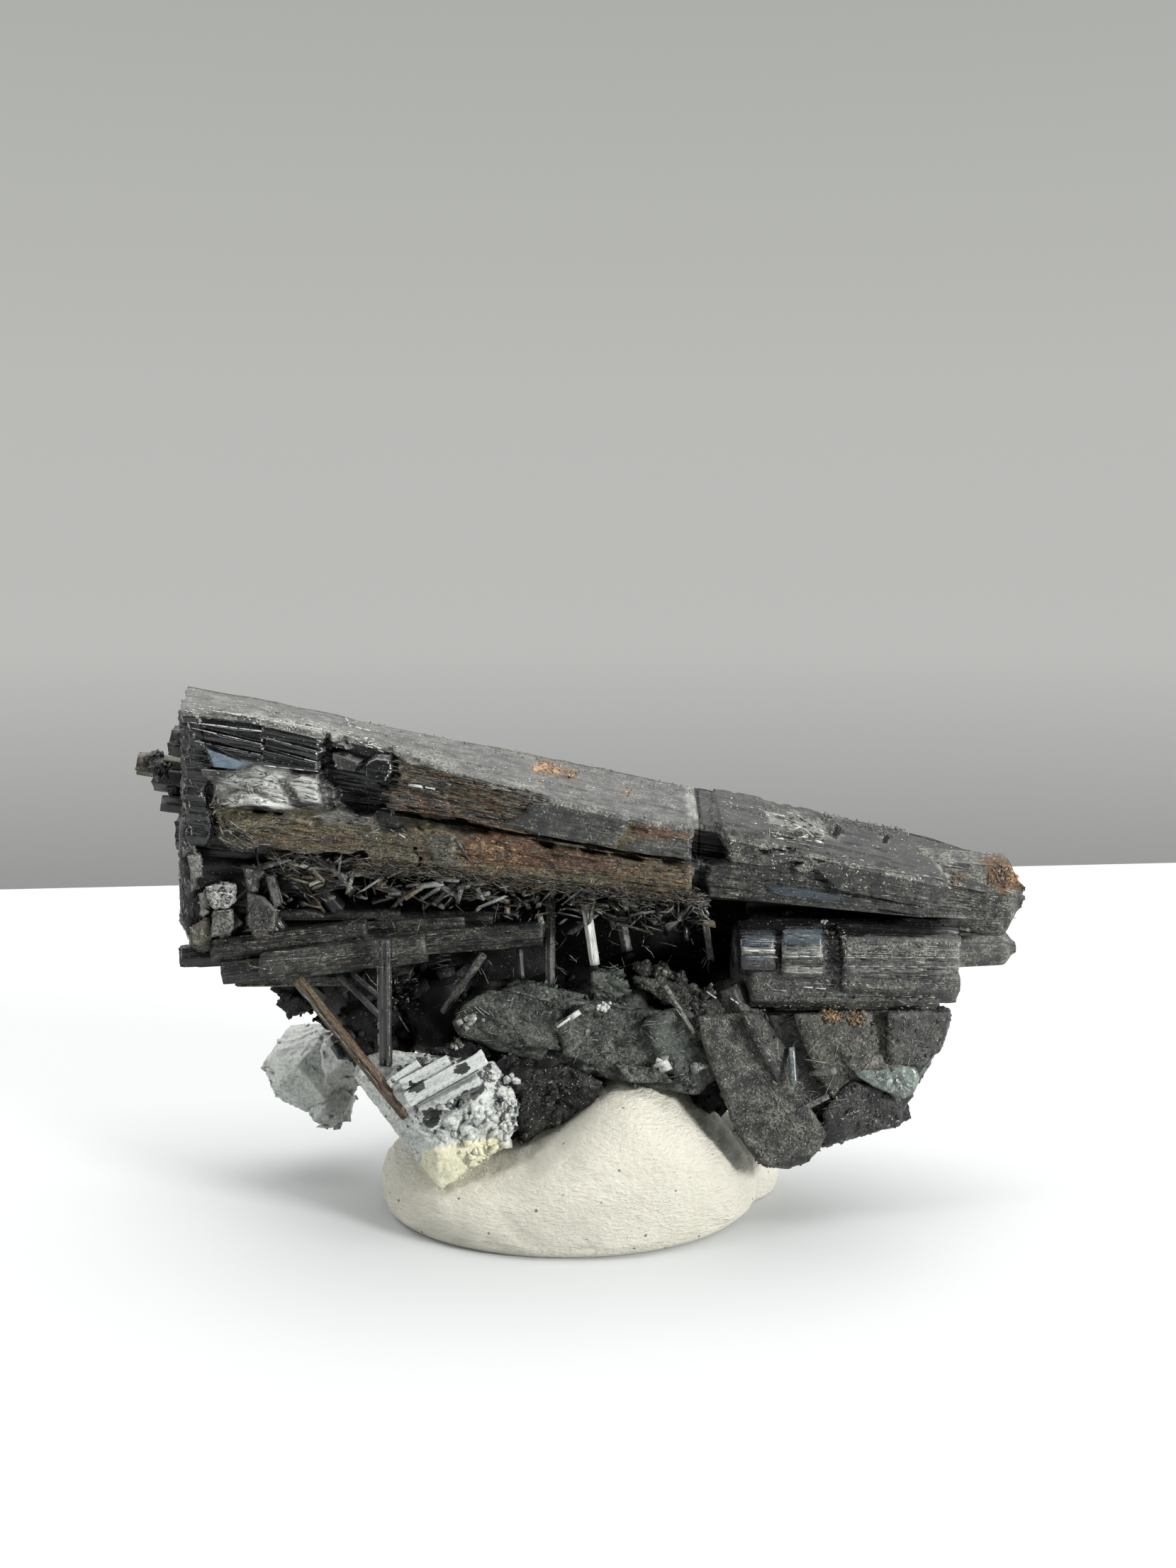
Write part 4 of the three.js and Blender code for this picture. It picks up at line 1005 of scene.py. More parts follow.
def main_crystal(x_from, x_to, columns):
    """The main crystal between two places along it, as a tube of cross-sections with closed ends."""
    x = np.linspace(x_from, x_to, columns)
    rim, top, low = ridge(x), top_edge(x), low_edge(x)
    middle = (rim + low) / 2
    y_rim = front_surface(x, rim - RIM_BEVEL)[0]
    sides = [  # each side of the section: its kind, how many points, and the y and z that it starts at
        ("front", 150, FRONT + FOOT_IN, low),
        ("rim", 5, y_rim, rim - RIM_BEVEL),
        ("top", 74, y_rim + 0.22, rim),
        ("away", 14, 2.0, top),
        ("away", 16, BACK - 1.4, top - 0.9),
        ("away", 16, BACK, middle + 0.6),
        ("away", 12, BACK - 1.2, low + 0.4),
        ("away", 14, 1.4, low - 1.0),
    ]
    ys, zs = [], []
    for (_, count, y, z), (_, _, next_y, next_z) in zip(sides, sides[1:] + sides[:1]):
        f = np.linspace(0, 1, count, endpoint=False)[:, None]
        ys.append(y * np.ones_like(x) * (1 - f) + next_y * np.ones_like(x) * f)
        zs.append(z * (1 - f) + next_z * f)
    y, z = np.concatenate(ys).T, np.concatenate(zs).T
    count = y.shape[1]
    kind = np.tile(np.repeat([side[0] for side in sides], [side[1] for side in sides]), columns)
    points = stack(x[:, None], y, z)
    marks = {name: np.full(len(points), usual) for name, usual in MARKS.items()}
    front, on_top, away = kind == "front", kind == "top", kind == "away"
    front_y, front_marks = front_surface(points[front, 0], points[front, 2])
    from_low = smooth(0.0, 0.3, points[front, 2] - low_edge(points[front, 0]))
    points[front, 1] = front_y * from_low + points[front, 1] * (1 - from_low)
    lift, top_marks = top_surface(points[on_top])
    points[on_top, 2] += lift
    for name in MARKS:
        marks[name][front] = front_marks[name]
        marks[name][on_top] = top_marks[name]
    marks["dust"][kind == "rim"] = RIM_DUST
    rough = 0.12 * fbm(points[away] * np.array([0.12, 1.4, 1.4]), 4, 57)
    rough += 0.05 * noise(points[away] * np.array([0.2, 6, 6]), 58)
    points[away, 1] += rough - 0.1 * np.sign(points[away, 1])
    points[away, 2] += rough
    marks["rust"][away] = 0.3 * smooth(0.2, 0.7, noise(points[away] * np.array([0.2, 0.6, 0.6]), 73))
    slim = 1 - SLIMMER * np.clip((points[:, 0] - SLIM_FROM) / (RIGHT_END - SLIM_FROM), 0, 1)
    level = (ridge(points[:, 0]) + low_edge(points[:, 0])) / 2
    points[:, 1] *= slim
    points[:, 2] = level + (points[:, 2] - level) * slim
    points[:, 0] = broken_end(points)
    faces, layers = [grid_faces(columns, count)], [points]
    for previous, side, end_x in ((0, -1, x_from), (len(points) - count, 1, x_to)):
        ring = points[previous : previous + count]
        centre = ring.mean(0)
        for share in CAP_RINGS:
            inner = centre + (ring - centre) * share
            dip = CAP_ROUGH * fbm(stack(0.0, inner[:, 1] * 0.6, inner[:, 2] * 0.9), 3, 61)
            inner[:, 0] = end_x
            inner[:, 0] = broken_end(inner) - side * (CAP_SINK + dip) * (share < CAP_RINGS[0])
            here = sum(map(len, layers))
            layers.append(inner)
            band = grid_faces(2, count)
            band = np.where(band < count, band + previous, band - count + here)
            faces.append(band if side > 0 else band[:, ::-1])
            previous = here
        layers.append(centre[None] - np.array([[side * CAP_MIDDLE, 0, 0]]))
        faces.append(fan_faces(sum(map(len, layers)) - 1, previous, count, flip=side < 0))
    whole = np.concatenate(layers)
    for name, values in marks.items():
        on_cap = np.full(len(whole) - len(points), CAP_MARKS.get(name, 0.0))
        marks[name] = np.concatenate([values, on_cap])
    grain = np.stack([whole[:, 0] * 0.07, whole[:, 1], fan(whole[:, 0], whole[:, 2])], -1)
    return whole, np.concatenate(faces)[:, ::-1], {"grain": grain, **marks}


# ---- smaller crystals ----------------------------------------------------------------------------

# Crystals: both ends, the radius and what else crystal() takes. First the rods in the hollow.
BUNDLE = [
    ((-22.4, -3.5, 15.6), (-17.4, -3.1, 15.8), 0.72, dict(roll=0.5, gloss=0.9, dust=0.03)),
    ((-20.4, -3.9, 16.1), (-11.6, -3.2, 17.0), 0.86, dict(roll=0.52, slant=0.1, dust=0.22)),
    ((-19.9, -4.3, 14.9), (-14.6, -4.0, 15.3), 0.78, dict(roll=0.52, slant=-0.15, gloss=0.8, dust=0.08)),
    ((-17.5, -4.4, 15.3), (-8.2, -3.9, 16.3), 0.98, dict(roll=0.5, slant=0.12, dust=0.3)),
    ((-19.2, -3.6, 14.3), (-12.3, -3.4, 14.3), 0.52, dict(roll=0.2, dust=0.25)),
    ((-17.0, -2.6, 17.9), (-9.8, -2.0, 17.8), 0.34, dict(dust=0.3)),
    ((-14.4, -2.8, 17.0), (-6.0, -2.4, 17.4), 0.42, dict(roll=0.4)),
    ((-12.5, -2.9, 16.1), (-1.4, -2.2, 16.7), 0.85, dict(roll=0.5, slant=-0.2, dust=0.25)),
    ((-11.3, -2.0, 17.5), (-4.4, -1.6, 17.5), 0.5, dict(roll=0.3, dust=0.3)),
    ((-21.2, 0.4, 16.6), (-4.0, 1.0, 17.2), 1.9, dict(roll=0.5, dust=0.02, spacing=0.2)),
    ((-19.6, 1.2, 14.2), (-6.4, 2.2, 14.8), 1.5, dict(roll=0.2, dust=0.02, spacing=0.2)),
    ((-20.8, 3.6, 16.4), (-2.0, 4.6, 17.4), 2.1, dict(roll=0.7, spacing=0.3)),
]

FRONT_RODS = [
    ((-10.2, -5.9, 17.2), (-10.25, -6.1, 9.9), 0.42,
     dict(sides=7, roll=0.3, ribs=0.22, chips=0.3, dust=0.08)),
    ((-15.4, -5.0, 14.6), (-9.0, -7.3, 7.3), 0.36,
     dict(sides=4, roll=0.6, rust=0.38, dust=0.05, chips=0.2)),
    ((-13.2, -4.2, 14.7), (-10.3, -4.8, 12.0), 0.22, dict(dust=0.2)),
    ((-12.4, -3.9, 14.7), (-10.6, -4.4, 13.3), 0.18, {}),
    ((-7.3, -2.6, 12.1), (-4.8, -4.4, 15.9), 0.24, dict(dust=0.7, chips=0.2)),
    ((-1.0, -1.6, 18.6), (-1.0, -3.0, 13.6), 0.3, dict(sides=4, deep=0.6, dust=0.35)),
    ((-2.9, -1.4, 16.6), (-2.7, -2.4, 14.0), 0.22, dict(sides=4, dust=0.1)),
    ((1.1, -3.4, 18.6), (1.6, -3.9, 15.2), 0.3, dict(roll=0.2, pale=0.8, chips=0.15)),
    ((2.8, -2.4, 19.2), (3.5, -3.0, 15.8), 0.32, dict(sides=4, deep=0.6, dust=0.4)),
    ((7.8, -2.2, 18.9), (8.4, -2.9, 15.3), 0.24, dict(sides=3, dust=0.4)),
    ((5.7, -3.6, 17.3), (7.7, -2.8, 18.7), 0.26, dict(sides=4, dust=0.35)),
    ((5.6, -5.1, 14.3), (7.2, -6.2, 11.8), 0.15, dict(dust=0.8)),
    ((-16.6, 3.2, 13.6), (-13.4, 5.4, 7.6), 0.7, dict(sides=5, dust=0.05)),
    ((-14.2, 2.4, 13.4), (-12.0, 3.0, 8.6), 0.75, dict(sides=6, dust=0.05)),
    ((-17.2, 1.6, 13.4), (-11.2, 1.8, 9.4), 0.5, dict(sides=4, dust=0.05)),
    # three small glossy prisms with a painted blue reflection
    ((12.8, -5.6, 10.8), (12.9, -6.3, 8.8), 0.22, dict(sides=5, gloss=0.9, dust=0.75, cool=0.35)),
    ((14.0, -5.2, 9.2), (15.2, -6.3, 9.6), 0.24, dict(sides=4, roll=0.5, gloss=0.9, dust=0.85, cool=0.25)),
    ((13.1, -5.4, 6.9), (14.9, -6.1, 8.1), 0.19, dict(sides=5, gloss=0.9, dust=0.8, cool=0.2)),
]

SECOND = [
    ((9.9, -3.4, 14.9), (21.7, -3.1, 14.9), 2.35, dict(sides=9, deep=1.25, slant=-0.22, dust=0.45)),
    ((15.4, -4.1, 15.5), (22.5, -3.9, 15.2), 2.05, dict(sides=9, deep=1.15, slant=-0.12, dust=0.5)),
    ((12.1, -4.6, 16.1), (14.5, -4.5, 16.1), 1.75, dict(sides=9, roll=0.2, gloss=0.8, dust=0.2)),
    ((9.8, -4.8, 16.2), (11.8, -4.7, 16.2), 1.4, dict(sides=9, roll=0.1, gloss=0.9, dust=0.1)),
    ((10.6, -0.6, 16.6), (21.8, -0.4, 16.2), 2.1, dict(sides=6, roll=0.3, dust=0.05)),
    ((19.4, 1.0, 15.0), (27.1, 1.2, 15.1), 0.78, dict(sides=7, deep=1.8, taper=0.8, tip=0.8, dust=0.6)),
]

LOWER_RIGHT = [
    ((9.2, -3.3, 13.9), (12.9, -3.3, 5.0), 2.1, dict(roll=0.52, deep=0.9, slant=0.12, dust=0.3)),
    ((11.4, -2.4, 13.6), (15.2, -2.2, 6.4), 1.6, dict(roll=0.2, slant=-0.15, dust=0.1)),
]

LEFT_END_CRYSTALS = [
    ((-22.1, -1.5, 19.4), (-17.2, -1.4, 19.0), 2.5,
     dict(sides=7, deep=1.1, slant=0.12, gloss=0.8, dust=0.02)),
    ((-21.9, -2.9, 17.5), (-19.0, -2.8, 17.7), 1.35, dict(roll=0.4, slant=-0.2, gloss=0.7, dust=0.1)),
    ((-20.9, -3.5, 19.6), (-18.9, -3.4, 17.4), 0.9, dict(sides=4, roll=0.3, gloss=0.8, dust=0.1)),
    ((-21.9, -0.6, 21.0), (-14.0, -0.4, 20.4), 2.4, dict(sides=6, roll=0.2, dust=0.02)),
    ((-18.4, -3.2, 19.3), (-16.6, -3.0, 16.4), 0.8, dict(sides=5, roll=0.9, dust=0.2)),
    ((-15.9, -2.6, 21.4), (-13.2, -2.8, 18.2), 0.5, dict(sides=4, roll=0.4, dust=0.05)),
]

BACK_CRYSTALS = [
    ((-27.0, 6.0, 25.8), (-12.0, 6.6, 23.4), 0.78, dict(roll=0.2, dust=0.1, rust=0.14, gloss=0.8)),
    ((-25.9, 5.6, 24.9), (-12.0, 5.8, 23.0), 0.85, dict(sides=5, roll=0.7, dust=0.1, gloss=0.8)),
    ((-25.3, 5.0, 23.4), (-14.0, 5.6, 22.0), 0.66, dict(roll=0.5, dust=0.1, gloss=0.8)),
    ((-24.4, 4.4, 27.4), (-12.0, 4.4, 25.3), 1.1, dict(sides=7, roll=0.1, dust=0.05)),
    ((-23.9, 3.0, 22.0), (-12.0, 3.4, 20.8), 1.3, dict(sides=6, roll=0.1, dust=0.05)),
    ((-21.0, 5.6, 21.6), (14.6, 6.0, 18.3), 2.9, dict(sides=9, roll=0.3, taper=0.85, slant=0.1)),
    ((-15.6, 7.6, 18.4), (4.6, 7.9, 17.0), 1.9, dict(sides=6, roll=0.15, slant=-0.2)),
    ((2.2, 7.4, 21.4), (19.2, 6.6, 16.2), 1.7, dict(sides=6, roll=0.4, taper=0.85, tip=0.8)),
    ((-6.0, 6.8, 24.1), (8.6, 6.5, 21.0), 1.5, dict(sides=6, roll=0.35, taper=0.9, tip=0.7)),
    ((5.0, 7.6, 14.4), (18.8, 6.4, 13.0), 1.8, dict(sides=6, roll=0.1, slant=0.2)),
    ((-9.4, 8.2, 14.0), (3.2, 8.4, 13.2), 1.6, dict(sides=7, roll=0.5)),
    ((9.6, 6.8, 12.6), (13.8, 7.4, 7.4), 1.3, dict(sides=6, roll=0.2, slant=0.2)),
    ((-4.8, 7.8, 12.8), (-8.4, 8.6, 8.2), 1.1, dict(sides=6, roll=0.4)),
    ((1.4, 7.2, 13.0), (2.8, 9.0, 8.0), 0.9, dict(sides=6)),
]

# Broken faces: outline, depth, tilt, detail, the height of their bumps and marks.
LOWER_RIGHT_FACES = [
    ([(985, 1420), (1345, 1420), (1335, 1462), (1300, 1508), (1284, 1550), (1262, 1586), (1200, 1592),
     (1150, 1610), (1050, 1600)], -4.3, (0.0, 0.0), 5, 0.2, dict(dust=0.1, gloss=0.6)),
    ([(1075, 1430), (1160, 1434), (1200, 1500), (1186, 1585), (1150, 1590), (1105, 1510)], -4.9,
     (0.1, 0.15), 5, 0.1, dict(dust=0.16)),
    ([(1250, 1424), (1342, 1424), (1338, 1450), (1326, 1482), (1296, 1508), (1250, 1504)], -4.7,
     (0.35, 0.0), 5, 0.09, dict(dust=0.3)),
    ([(1150, 1426), (1296, 1424), (1300, 1470), (1268, 1512), (1205, 1512), (1172, 1480)], -5.0,
     (0.12, -0.2), 5, 0.05, dict(dust=0.58, rust=0.05)),
    ([(1118, 1430), (1172, 1428), (1225, 1478), (1248, 1512), (1225, 1560), (1190, 1566), (1150, 1520)],
     -5.2, (0.3, 0.15), 5, 0.06, dict(dust=0.34, rust=0.06)),
    ([(1155, 1568), (1200, 1524), (1240, 1530), (1276, 1548), (1275, 1566), (1268, 1588), (1242, 1592),
     (1212, 1592), (1187, 1602), (1160, 1620)], -4.9, (0.15, 0.15), 5, 0.16, dict(dust=0.16, gloss=0.6)),
    ([(1040, 1424), (1074, 1428), (1140, 1520), (1186, 1584), (1170, 1612), (1110, 1560)], -5.15,
     (0.65, 0.0), 5, 0.05, dict(dust=0.2)),
    ([(984, 1432), (1052, 1428), (1084, 1480), (1130, 1560), (1168, 1600), (1156, 1622), (1138, 1640),
     (1112, 1649), (1080, 1647), (1062, 1632), (1036, 1590), (1008, 1520), (990, 1470)], -5.8, (0.1, 0.03),
     6, 0.1, dict(dust=0.46, rust=0.03)),
]

LEFT_END_ROCKS = [
    ([(253, 1150), (276, 1150), (280, 1262), (268, 1275), (252, 1240)], -4.6, (0.3, 0.0), 4, 0.1,
     dict(dust=0.1, gloss=0.8)),
    ([(252, 1232), (281, 1244), (306, 1310), (302, 1346), (274, 1344), (254, 1300)], -4.2, (0.2, 0.0), 4,
     0.1, dict(dust=0.14, gloss=0.8)),
    ([(264, 1206), (284, 1204), (286, 1238), (268, 1242)], -4.9, (0.3, 0.1), 4, 0.08,
     dict(dust=0.4, pale=0.15, gloss=0.7)),
    # a silvery facet: its pale mark is a painted highlight
    ([(290, 1250), (312, 1243), (333, 1248), (335, 1271), (324, 1282), (301, 1284), (288, 1268)], -5.1,
     (0.2, -0.2), 4, 0.14, dict(dust=0.3, pale=0.4, gloss=0.8)),
    ([(280, 1261), (294, 1256), (297, 1287), (285, 1294)], -5.0, (0.3, 0.0), 4, 0.05,
     dict(dust=0.4, pale=0.24, rust=0.09)),
    ([(300, 1284), (329, 1282), (330, 1310), (325, 1318), (296, 1323)], -5.2, (0.15, 0.05), 4, 0.03,
     dict(dust=0.62, gloss=0.3)),
    ([(267, 1308), (296, 1288), (301, 1323), (285, 1334), (268, 1333)], -5.0, (0.2, 0.1), 4, 0.1,
     dict(dust=0.35, rust=0.12)),
    ([(348, 1256), (372, 1264), (394, 1287), (391, 1312), (359, 1326), (347, 1303)], -4.9, (0.1, -0.1), 4,
     0.12, dict(dust=0.34, gloss=0.5)),
    ([(374, 1236), (388, 1234), (398, 1276), (386, 1284)], -4.8, (0.3, 0.0), 4, 0.06, dict(dust=0.3)),
    ([(342, 1222), (372, 1226), (366, 1260), (348, 1262)], -4.5, (0.3, 0.0), 4, 0.1,
     dict(dust=0.14, gloss=0.7)),
]

MATRIX_FACES = [
    ([(640, 1442), (656, 1414), (690, 1396), (760, 1400), (850, 1412), (940, 1426), (1010, 1440),
     (1014, 1520), (985, 1546), (930, 1532), (850, 1522), (760, 1500), (690, 1480), (650, 1462)], -5.4,
     (0.0, 0.0), 6, 0.2, dict(dust=0.5)),
    ([(655, 1440), (684, 1404), (745, 1400), (800, 1432), (790, 1480), (720, 1480)], -5.65, (-0.1, -0.2), 5,
     0.12, dict(dust=0.42)),
    ([(905, 1440), (962, 1416), (1012, 1460), (1014, 1515), (978, 1542), (930, 1508)], -5.6, (0.2, 0.0), 5,
     0.14, dict(dust=0.2)),
    ([(780, 1446), (827, 1414), (912, 1422), (930, 1470), (915, 1508), (850, 1508), (795, 1490)], -5.75,
     (0.2, 0.12), 6, 0.12, dict(dust=0.5)),
    ([(866, 1500), (935, 1508), (952, 1528), (888, 1527)], -6.0, (0.0, -0.3), 5, 0.05, dict(dust=0.9)),
    ([(833, 1372), (878, 1368), (882, 1402), (862, 1420), (836, 1412)], -4.9, (0.1, 0.0), 5, 0.08,
     dict(dust=0.4)),
    ([(705, 1396), (745, 1384), (780, 1402), (830, 1404), (800, 1424), (740, 1414)], -5.2, (0.1, -0.4), 5,
     0.08, dict(dust=0.3)),
]

ROOT_FACES = [
    ([(727, 1506), (773, 1498), (831, 1510), (852, 1525), (846, 1548), (808, 1575), (735, 1614),
     (722, 1580)], -5.8, (0.1, 0.1), 5, 0.3, dict(dust=0.16, gloss=0.6)),
    ([(690, 1500), (727, 1480), (738, 1520), (733, 1602), (716, 1606), (700, 1560)], -5.3, (0.1, 0.1), 5,
     0.3, dict(dust=0.05, gloss=0.6)),
    ([(600, 1478), (660, 1468), (742, 1488), (742, 1530), (690, 1530), (620, 1512)], -4.6, (0.1, 0.2), 5,
     0.3, dict(dust=0.05, gloss=0.6)),
    ([(880, 1374), (960, 1384), (1056, 1416), (1050, 1436), (985, 1436), (930, 1412)], -4.8, (0.1, -0.2), 5,
     0.3, dict(dust=0.3, gloss=0.6)),
]

# What colours the camera's side of crystals: marks and their outlines in the photograph's pixels.
SECOND_PAINT = [
    # painted shade in the gap under the main crystal
    (BLACK, box(1040, 1296, 1362, 1322)),
    # a painted blue reflection and a painted highlight in bands
    (dict(cool=0.3, gloss=0.9, dust=0.05), [(1050, 1320), (1097, 1320), (1097, 1332), (1050, 1333)]),
    (dict(pale=0.34, gloss=0.6, dust=0.1), [(1050, 1336), (1097, 1337), (1097, 1345), (1050, 1346)]),
    (dict(gloss=0.6, dust=0.3), box(1052, 1347, 1097, 1361)),
    (BLACK, box(1052, 1361, 1097, 1372)),
    # painted shade in the slot, then a band of painted blue reflection
    (BLACK, box(1097, 1300, 1106, 1374)),
    (dict(gloss=0.9, dust=0.12, cool=0.3), box(1106, 1312, 1161, 1334)),
    (dict(dust=0.55, pale=0.15, cool=0.1), box(1106, 1334, 1161, 1352)),
    (dict(dust=0.12, gloss=0.8), box(1106, 1353, 1161, 1362)),
    (dict(dust=0.6, pale=0.2), box(1106, 1362, 1161, 1374)),
    # painted shade between the segments
    (BLACK, [(1163, 1300), (1194, 1300), (1192, 1374), (1180, 1398), (1164, 1392)]),
    (dict(dust=0.75), [(1195, 1328), (1362, 1330), (1362, 1352), (1195, 1352)]),
    (dict(dust=0.35, gloss=0.5), [(1195, 1352), (1362, 1352), (1360, 1362), (1195, 1362)]),
    (dict(dust=0.7, pale=0.08), [(1195, 1362), (1362, 1362), (1360, 1372), (1195, 1372)]),
    (dict(dust=0.4), [(1195, 1373), (1360, 1373), (1350, 1424), (1330, 1424), (1195, 1400)]),
    (dict(dust=0.35), [(1054, 1378), (1195, 1378), (1195, 1424), (1060, 1420)]),
    # painted shade along the lower edge
    (BLACK, [(1060, 1418), (1150, 1422), (1340, 1418), (1340, 1432), (1060, 1432)]),
]

TIP_PAINT = [
    (dict(rust=0.56, dust=0.4),
     [(1384, 1212), (1402, 1206), (1430, 1216), (1450, 1232), (1444, 1252), (1412, 1264), (1398, 1242)]),
    (dict(rust=0.8, dust=0.4), [(1414, 1220), (1440, 1226), (1446, 1246), (1420, 1250)]),
    # painted shade along the tip's lower edge
    (BLACK, [(1362, 1321), (1424, 1318), (1424, 1325), (1362, 1328)]),
    (dict(rust=0.35, dust=0.3), [(1332, 1232), (1362, 1233), (1364, 1248), (1338, 1248)]),
]


def crystals(specs, seed, **common):
    """The crystals of a table, with what they have in common."""
    made = []
    for k, (a, b, radius, own) in enumerate(specs):
        made.append(crystal(a, b, radius, seed=seed + k, **{**common, **own}))
    return made


def painted(shapes, patches, seed):
    """Gives the camera's side of shapes the marks of patches that are outlined in pixels."""
    points, faces, marks = combine(shapes)
    u, v = to_pixel(points)
    ragged = 3.2 * noise(points * 2.6, seed) + 2.6 * noise(points * 8.0, seed + 1)
    for looks, outline in patches:
        share = smooth(-1.0, 1.5, depth_inside(outline, u, v) + ragged)
        for name in MARKS:
            marks[name] = marks[name] * (1 - share) + patch_mark(looks, name) * share
    return points, faces, marks


def broken_faces(rows, seed, deep, **form):
    """Rocks that each show a broken face, each with its marks."""
    for k, (outline, y, tilt, detail, bumps, looks) in enumerate(rows):
        own = dict(detail=detail, bumps=bumps, seed=seed + k, **looks)
        yield faceted(outline, y, tilt, deep, **own, **form), looks


def left_end_shapes(rng):
    """The broken crystals at the left end, and the crumbling rocks in front of them."""
    ends = crystals(LEFT_END_CRYSTALS, 500, spacing=0.14, step=0.25)
    shapes = [painted(ends, [(BLACK, box(236, 1190, 430, 1330))], 510)]
    for face, looks in broken_faces(LEFT_END_ROCKS, 520, 1.4, bump_size=0.4, ledges=0.06):
        grain_looks = {**looks, "dust": rng.uniform(0, 2 * looks["dust"], 36)}
        shapes += [face, gravel(face, 36, 0.05, 0.26, rng, flat=0.4, **grain_looks)]
    return shapes


def lower_right_shapes(rng):
    """The thick broken prism at the lower right and the rough faces beside it."""
    shapes = crystals(LOWER_RIGHT, 700, spacing=0.25, step=0.5, ribs=0.06)
    for face, looks in broken_faces(LOWER_RIGHT_FACES, 720, 2.2, bump_size=0.8, ledges=0.08):
        dust = rng.uniform(0, 2 * looks["dust"], 160)
        shapes += [face, gravel(face, 160, 0.04, 0.34, rng, flat=0.3, dust=dust)]
    return shapes


def back_shapes():
    """The crystals behind, with crumbling ends at the left."""
    looks = dict(detail=4, bumps=0.24, bump_size=0.5, ledges=0.10, dust=0.12, gloss=0.7)
    return crystals(BACK_CRYSTALS, 800, spacing=0.19, step=0.7, ribs=0.08, dust=0.12, gloss=0.6) + [
        crumbs((-26.2, 5.7, 26.1), (-24.9, 5.3, 25.0), 0.85, 4, 831, **looks),
        crumbs((-25.2, 5.4, 24.6), (-24.0, 4.9, 23.0), 0.80, 4, 832, **looks),
    ]


def tip_shapes():
    """The tapering end of the main crystal: striated, round and notched, with rust on top."""
    looks = dict(dust=0.5, gloss=0.35, ribs=0.03, spacing=0.07)
    rusty = dict(detail=4, bumps=0.16, bump_size=0.35, ledges=0.10, rust=0.5, dust=0.4)
    ends = [
        crystal((20.6, -0.8, 18.9), (26.9, -0.6, 18.6), 2.05, 9, 1.3, taper=0.93, tip=1.2, seed=301, **looks),
        crystal((21.2, -1.4, 18.4), (26.0, -1.4, 18.0), 1.1, 7, 1.5, tip=0.5, seed=302, **looks),
        crumbs((24.4, -1.8, 20.1), (26.3, -1.2, 19.4), 0.85, 4, 11, **rusty),
    ]
    return painted(ends, TIP_PAINT, 310)


# ---- the dark root and the other minerals --------------------------------------------------------

# The root's rocks: middle, half sizes, seed and how many corners.
ROOT_ROCKS = [
    ((-7.0, 4.2, 14.2), (8.8, 4.5, 5.3), 51, 17),
    ((5.0, 4.4, 14.4), (8.8, 4.3, 5.5), 52, 17),
    ((-11.0, 2.4, 11.3), (4.9, 3.5, 4.1), 58, 15),
    ((9.0, 1.0, 9.6), (3.5, 3.5, 3.7), 59, 13),
    ((8.4, -0.6, 8.0), (2.7, 3.1, 3.0), 50, 13),
    ((-0.6, 1.6, 10.2), (6.5, 4.3, 4.0), 49, 15),
    ((13.6, 1.8, 12.2), (6.1, 4.5, 4.7), 53, 15),
    ((-1.0, -1.9, 8.6), (3.4, 4.3, 3.4), 54, 15),
    ((-8.0, 0.2, 11.4), (3.6, 3.0, 3.6), 47, 15),
    ((-11.6, 0.0, 10.4), (3.4, 2.6, 2.6), 48, 15),
    ((14.6, -0.6, 9.0), (3.4, 2.6, 3.0), 46, 15),
    ((17.2, -1.8, 8.8), (2.6, 1.8, 1.8), 45, 15),
    ((16.9, -2.2, 6.8), (2.3, 1.3, 1.4), 40, 13),
]

# Its crumbly edges: from, to, size, how many, seed and dust.
ROOT_CRUMBS = [
    ((-3.0, -5.0, 9.2), (1.6, -4.6, 7.4), 1.5, 5, 55, 0.1),
    ((-3.4, -4.2, 7.2), (-0.2, -4.4, 6.2), 1.4, 4, 56, 0.1),
    ((4.2, -3.9, 14.9), (9.4, -4.4, 13.4), 0.8, 6, 57, 0.35),
    ((-18.4, 2.6, 13.4), (-13.2, 4.6, 8.6), 1.25, 7, 60, 0.05),
    ((12.4, -3.6, 4.9), (15.4, -3.0, 6.3), 1.1, 4, 41, 0.2),
    ((15.2, -3.2, 6.6), (19.0, -2.6, 6.3), 1.35, 7, 42, 0.1),
    ((21.4, -2.0, 12.8), (19.6, -1.6, 9.2), 1.5, 5, 43, 0.25),
]


def root_shapes(rng):
    """The dark granular mass that the crystals grew from, with grains bedded in it."""
    looks = dict(detail=4, bumps=0.25, bump_size=0.9, dust=0.02, gloss=0.6)
    rocks = [chunk(*row, **looks) for row in ROOT_ROCKS]
    looks = dict(detail=4, bumps=0.14, bump_size=0.45, gloss=0.7)
    crumbly = [crumbs(*row, dust=dust, **looks) for *row, dust in ROOT_CRUMBS]
    grains = [gravel(shape, 60, 0.25, 1.0, rng, dust=0.05, gloss=0.7) for shape in rocks]
    for shape, row in zip(crumbly, ROOT_CRUMBS):
        dust = rng.uniform(0, 2.2 * row[-1], 90)
        grains.append(gravel(shape, 90, 0.08, 0.32, rng, dust=dust, gloss=0.8))
    for face, _ in broken_faces(ROOT_FACES, 150, 2.0, bump_size=0.8, ledges=0.10):
        rocks.append(face)
        dust = rng.uniform(0, 0.45, 220)
        grains.append(gravel(face, 220, 0.05, 0.40, rng, flat=0.6, dust=dust, gloss=0.8))
    return rocks + crumbly + grains


